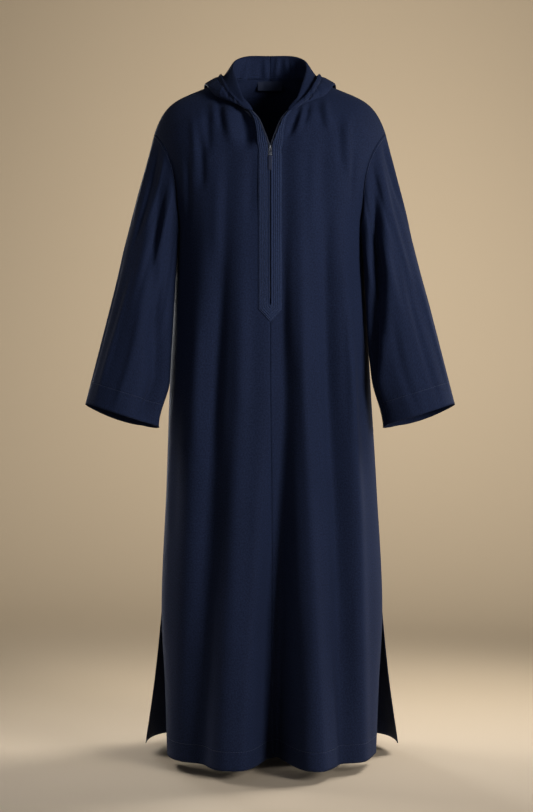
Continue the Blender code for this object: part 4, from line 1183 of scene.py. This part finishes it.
slider_mesh = bmesh.new()
wide, narrow = SLIDER_HALF * 0.78, 0.0021
body_outline = [(narrow, SLIDER_LOW), (wide * 0.93, SLIDER_LOW + 0.004), (wide, SLIDER_HIGH - 0.0025),
                (wide * 0.8, SLIDER_HIGH), (0.0009, SLIDER_HIGH - 0.0006), (0, SLIDER_HIGH - 0.0012)]
body_outline += [(-x, z) for x, z in reversed(body_outline[:-1])]
behind = -TAPE_THICK - 2 * GAP
plate(slider_mesh, body_outline, GAP, 0.0016)
plate(slider_mesh, rounded(wide, SLIDER_LOW, SLIDER_HIGH, 0.0016), behind - 0.0011, behind)
plate(slider_mesh, rounded(0.0008, SLIDER_HIGH - 0.0032, SLIDER_HIGH - 0.0008, 0.0004), behind, GAP)
plate(slider_mesh, rounded(0.00165, SLIDER_LOW + 0.0008, SLIDER_HIGH - 0.0012, 0.0009), 0.0016, PLATE_FACE)
hard_piece("slider_body", slider_mesh, slider_frame, metal, 0.0003, "zip_slider", "garment")
bridge_mesh = bmesh.new()
tube(bridge_mesh, arc([(0, PLATE_FACE - 0.0006, -0.0008), (0, PLATE_FACE + 0.0018, -0.0004),
                       (0, PLATE_FACE + 0.0028, 0.0018), (0, PLATE_FACE + 0.0028, 0.0048),
                       (0, PLATE_FACE + 0.0016, 0.0068), (0, PLATE_FACE - 0.0006, 0.0072)]), 0.00062)
hard_piece("slider_bridge", bridge_mesh, slider_frame, metal, 0, "zip_slider", "garment")


# Pull. A plated link that swings on the slider's bridge and carries a cross bar, and a long flat tab of
# navy enamelled metal held on the bar.
LINK_HALF, LINK_LENGTH, LINK_WIRE = 0.0023, 0.0135, 0.00055
BAR_HALF, BAR_THICK, BAR_DOWN, BAR_SIDES = 0.0040, 0.0020, LINK_LENGTH + 0.0004, 14
TAB_OUT, TAB_LENGTH, TAB_HALF, TAB_THICK, TAB_CORNER = 0.0050, 0.030, 0.0034, 0.0016, 0.0008

link_mesh = bmesh.new()
out = TAB_OUT - PIVOT_OUT
loop = [(0, 0, 0), (-LINK_HALF * 0.8, 0, 0), (-LINK_HALF, out * 0.1, -0.0006),
        (-LINK_HALF * 0.9, out * 0.7, -0.0070), (-LINK_HALF * 0.8, out, -LINK_LENGTH),
        (0, out, -LINK_LENGTH - 0.0003)]
loop += [(-x, y, z) for x, y, z in reversed(loop[:-1])]
tube(link_mesh, arc(loop, 48), LINK_WIRE)
lobes = [(-BAR_HALF, 0.55), (-BAR_HALF * 0.94, 0.85), (-BAR_HALF * 0.78, 1.0), (-BAR_HALF * 0.55, 0.92),
         (-BAR_HALF * 0.3, 0.72), (0, 0.66)]
lobes += [(-x, size) for x, size in reversed(lobes[:-1])]
join_rings(link_mesh, [ring(link_mesh, Vector((x, out, -BAR_DOWN)), Vector((0, 1, 0)), Vector((0, 0, 1)),
                            BAR_THICK / 2 * size, BAR_SIDES) for x, size in lobes])
hard_piece("pull_loop", link_mesh, pull_frame, metal, 0, "pull_link", "pull")

enamel, enamel_shader = finish("pull_enamel_coat", (0.014, 0.021, 0.052), 0.40, Specular_IOR_Level=0.5,
                               Coat_Weight=0.25, Coat_Roughness=0.25)
enamel_place = coordinates(enamel_shader)
enamel_mottle = enamel_place.noise(160, 3.0)
feed(enamel_shader, "Base Color", enamel_mottle.mixed((0.011, 0.017, 0.043), (0.019, 0.028, 0.066)))
feed(enamel_shader, "Roughness", enamel_place.noise(600, 3.0) * 0.3 + 0.24)
tab_mesh = bmesh.new()
tab_top = -BAR_DOWN - BAR_THICK / 2 - GAP
outline = [(TAB_HALF * 0.86, tab_top), (-TAB_HALF * 0.86, tab_top), (-TAB_HALF, tab_top - TAB_CORNER)]
outline += [(TAB_HALF * math.cos(a), tab_top - TAB_LENGTH + TAB_HALF * 0.62 * (1 + math.sin(a)))
            for a in (math.radians(180 + 180 * k / 14) for k in range(15))]
outline.append((TAB_HALF, tab_top - TAB_CORNER))
plate(tab_mesh, outline, out - TAB_THICK / 2, out + TAB_THICK / 2)
hard_piece("pull_tab_plate", tab_mesh, pull_frame, enamel, 0.00045, "pull_tab", "pull")


# Label. A ribbed satin ribbon woven in navy, with nothing on it. Its ends are folded under and sewn inside
# the back of the neck, just below the hood's seam.
LABEL_HALF, LABEL_TOP, LABEL_BOTTOM, LABEL_THICK = 0.026, 0.0105, -0.0100, 0.0006
LABEL_BACK, LABEL_BOW = 0.0699, 0.0020

# The ribbon's colour is painted half again lighter than its navy: painted light, so that it still shows in
# the shadow cast across it.
satin, satin_shader = finish("label_satin_weave", (0.02025, 0.0280, 0.0580), 0.60, Specular_IOR_Level=0.08)
satin_threads = coordinates(satin_shader, "UV")
satin_ribs = (satin_threads.parts()[1] * 9000).sine() * 0.15
feed(satin_shader, "Roughness", satin_threads.stretched(200, 2600).noise(1.0) * 0.25 + 0.45)
feed(satin_shader, "Normal", satin_ribs.bump(0.4, 0.0003))

label_across, label_up = np.meshgrid(np.linspace(-1, 1, 61), np.linspace(-1, 1, 25))
label_y = LABEL_BACK + LABEL_BOW * (1 - label_across ** 2)
label_y = label_y + 0.0003 * np.sin(9 * label_across) * (1 - label_up ** 2) - LABEL_THICK
label_z = (LABEL_TOP + LABEL_BOTTOM) / 2 + label_up * (LABEL_TOP - LABEL_BOTTOM) / 2
label_points = stack(label_across * LABEL_HALF, label_y, label_z)
label_threads = (label_across * LABEL_HALF, label_up * (LABEL_TOP - LABEL_BOTTOM) / 2)
label = cloth_mesh("label_ribbon", [(label_points, label_threads, {})], satin, LABEL_THICK)
dress(label, "neck_label")


# Sewing. Rows of lockstitch in a slightly lighter navy thread hold the hems, the facings of the slits, the
# armholes, the hood's mouth and the placket. Each stitch is a short rounded length of thread.
STITCH_PITCH, PLACKET_PITCH, STITCH_SHARE = 0.0032, 0.0028, 0.74
THREAD, THREAD_SUNK = 0.00030, 0.00010
SLIT_FACING, FACING_TOP = 0.024, SLIT_TOP + 0.012

thread, thread_shader = finish("thread", (0.034, 0.046, 0.095), 0.55, Specular_IOR_Level=0.4)
twist = coordinates(thread_shader).noise(2400, 1.0)
feed(thread_shader, "Base Color", twist.mixed((0.024, 0.034, 0.074), (0.052, 0.068, 0.125)))
RING = np.linspace(0, 2 * np.pi, 6)[:-1]
STITCH_FACES = np.array([(5 * r + j, 5 * r + (j + 1) % 5, 5 * r + 5 + (j + 1) % 5, 5 * r + 5 + j)
                         for r in range(3) for j in range(5)])


def sew(name, line, normals, pitch=STITCH_PITCH):
    """A row of stitches along a line of points on the cloth."""
    steps = walk(line, pitch, pitch / 2)
    middle, out = along_line(line, steps), unit(along_line(normals, steps))
    way = unit(along_line(np.gradient(line, axis=0), steps))
    side = np.cross(way, out)
    spots = []
    for place, high, size in ((-0.5, -0.9, 0.6), (-0.34, 0.55, 1.0), (0.34, 0.55, 1.0), (0.5, -0.9, 0.6)):
        ring_middle = middle + way * place * pitch * STITCH_SHARE + out * (high * THREAD - THREAD_SUNK)
        for a in RING:
            spots.append(ring_middle + (side * np.cos(a) + out * np.sin(a)) * THREAD * size)
    row = row_of(name, spots, STITCH_FACES, thread)
    row.data.shade_smooth()
    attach(row, "garment")


def row_at(grid, mark, distance, axis):
    """The line of a grid where one of its marks has a value, running along the other axis."""
    points, _, marks = grid
    values = np.broadcast_to(marks[mark], points.shape[:2])
    normals = outward(points)
    if axis == 0:
        points, values, normals = points.swapaxes(0, 1), values.T, normals.swapaxes(0, 1)
    line, line_normals = [], []
    for run, value, out_ways in zip(points, values, normals):
        order = 1 if value[-1] > value[0] else -1
        at = np.interp(distance, value[::order], np.arange(len(value))[::order])
        i = int(min(at, len(value) - 2))
        line.append(run[i] + (run[i + 1] - run[i]) * (at - i))
        line_normals.append(out_ways[i] + (out_ways[i + 1] - out_ways[i]) * (at - i))
    return np.array(line), unit(np.array(line_normals))


for name, side in (("left", LEFT), ("right", RIGHT)):
    sew("hem_stitches_front_" + name, *row_at(fronts[side], "from_hem", HEM_DEPTH, 0))
    sew("hem_stitches_back_" + name, *row_at(back_halves[side], "from_hem", HEM_DEPTH, 0))
    sew("cuff_stitches_" + name, *row_at(sleeves[side], "from_cuff", SLEEVE_HEM, 0))
    sew("armhole_stitches_" + name, *row_at(sleeves[side], "from_armhole", ARMHOLE_ROW, 0))
    sew("mouth_stitches_" + name, *row_at(hoods[side], "to_rim", MOUTH_ROW, 0))
    for panel, grid in (("front", fronts[side]), ("back", back_halves[side])):
        slit_line, slit_normals = row_at(grid, "from_side", SLIT_FACING, 1)
        below = slit_line[:, 2] < FACING_TOP
        sew(f"slit_stitches_{panel}_{name}", slit_line[below], slit_normals[below])

for number, row in enumerate(STITCH_ROWS):
    for name, grid in zip(("left", "right"), placket_sides):
        inner = -1 if name == "right" else 0
        reaches = grid[2]["edge"][:, inner] > row
        line, line_normals = row_at(grid, "edge", row, 1)
        sew(f"placket_stitches_{name}_{number}", line[reaches], line_normals[reaches], PLACKET_PITCH)
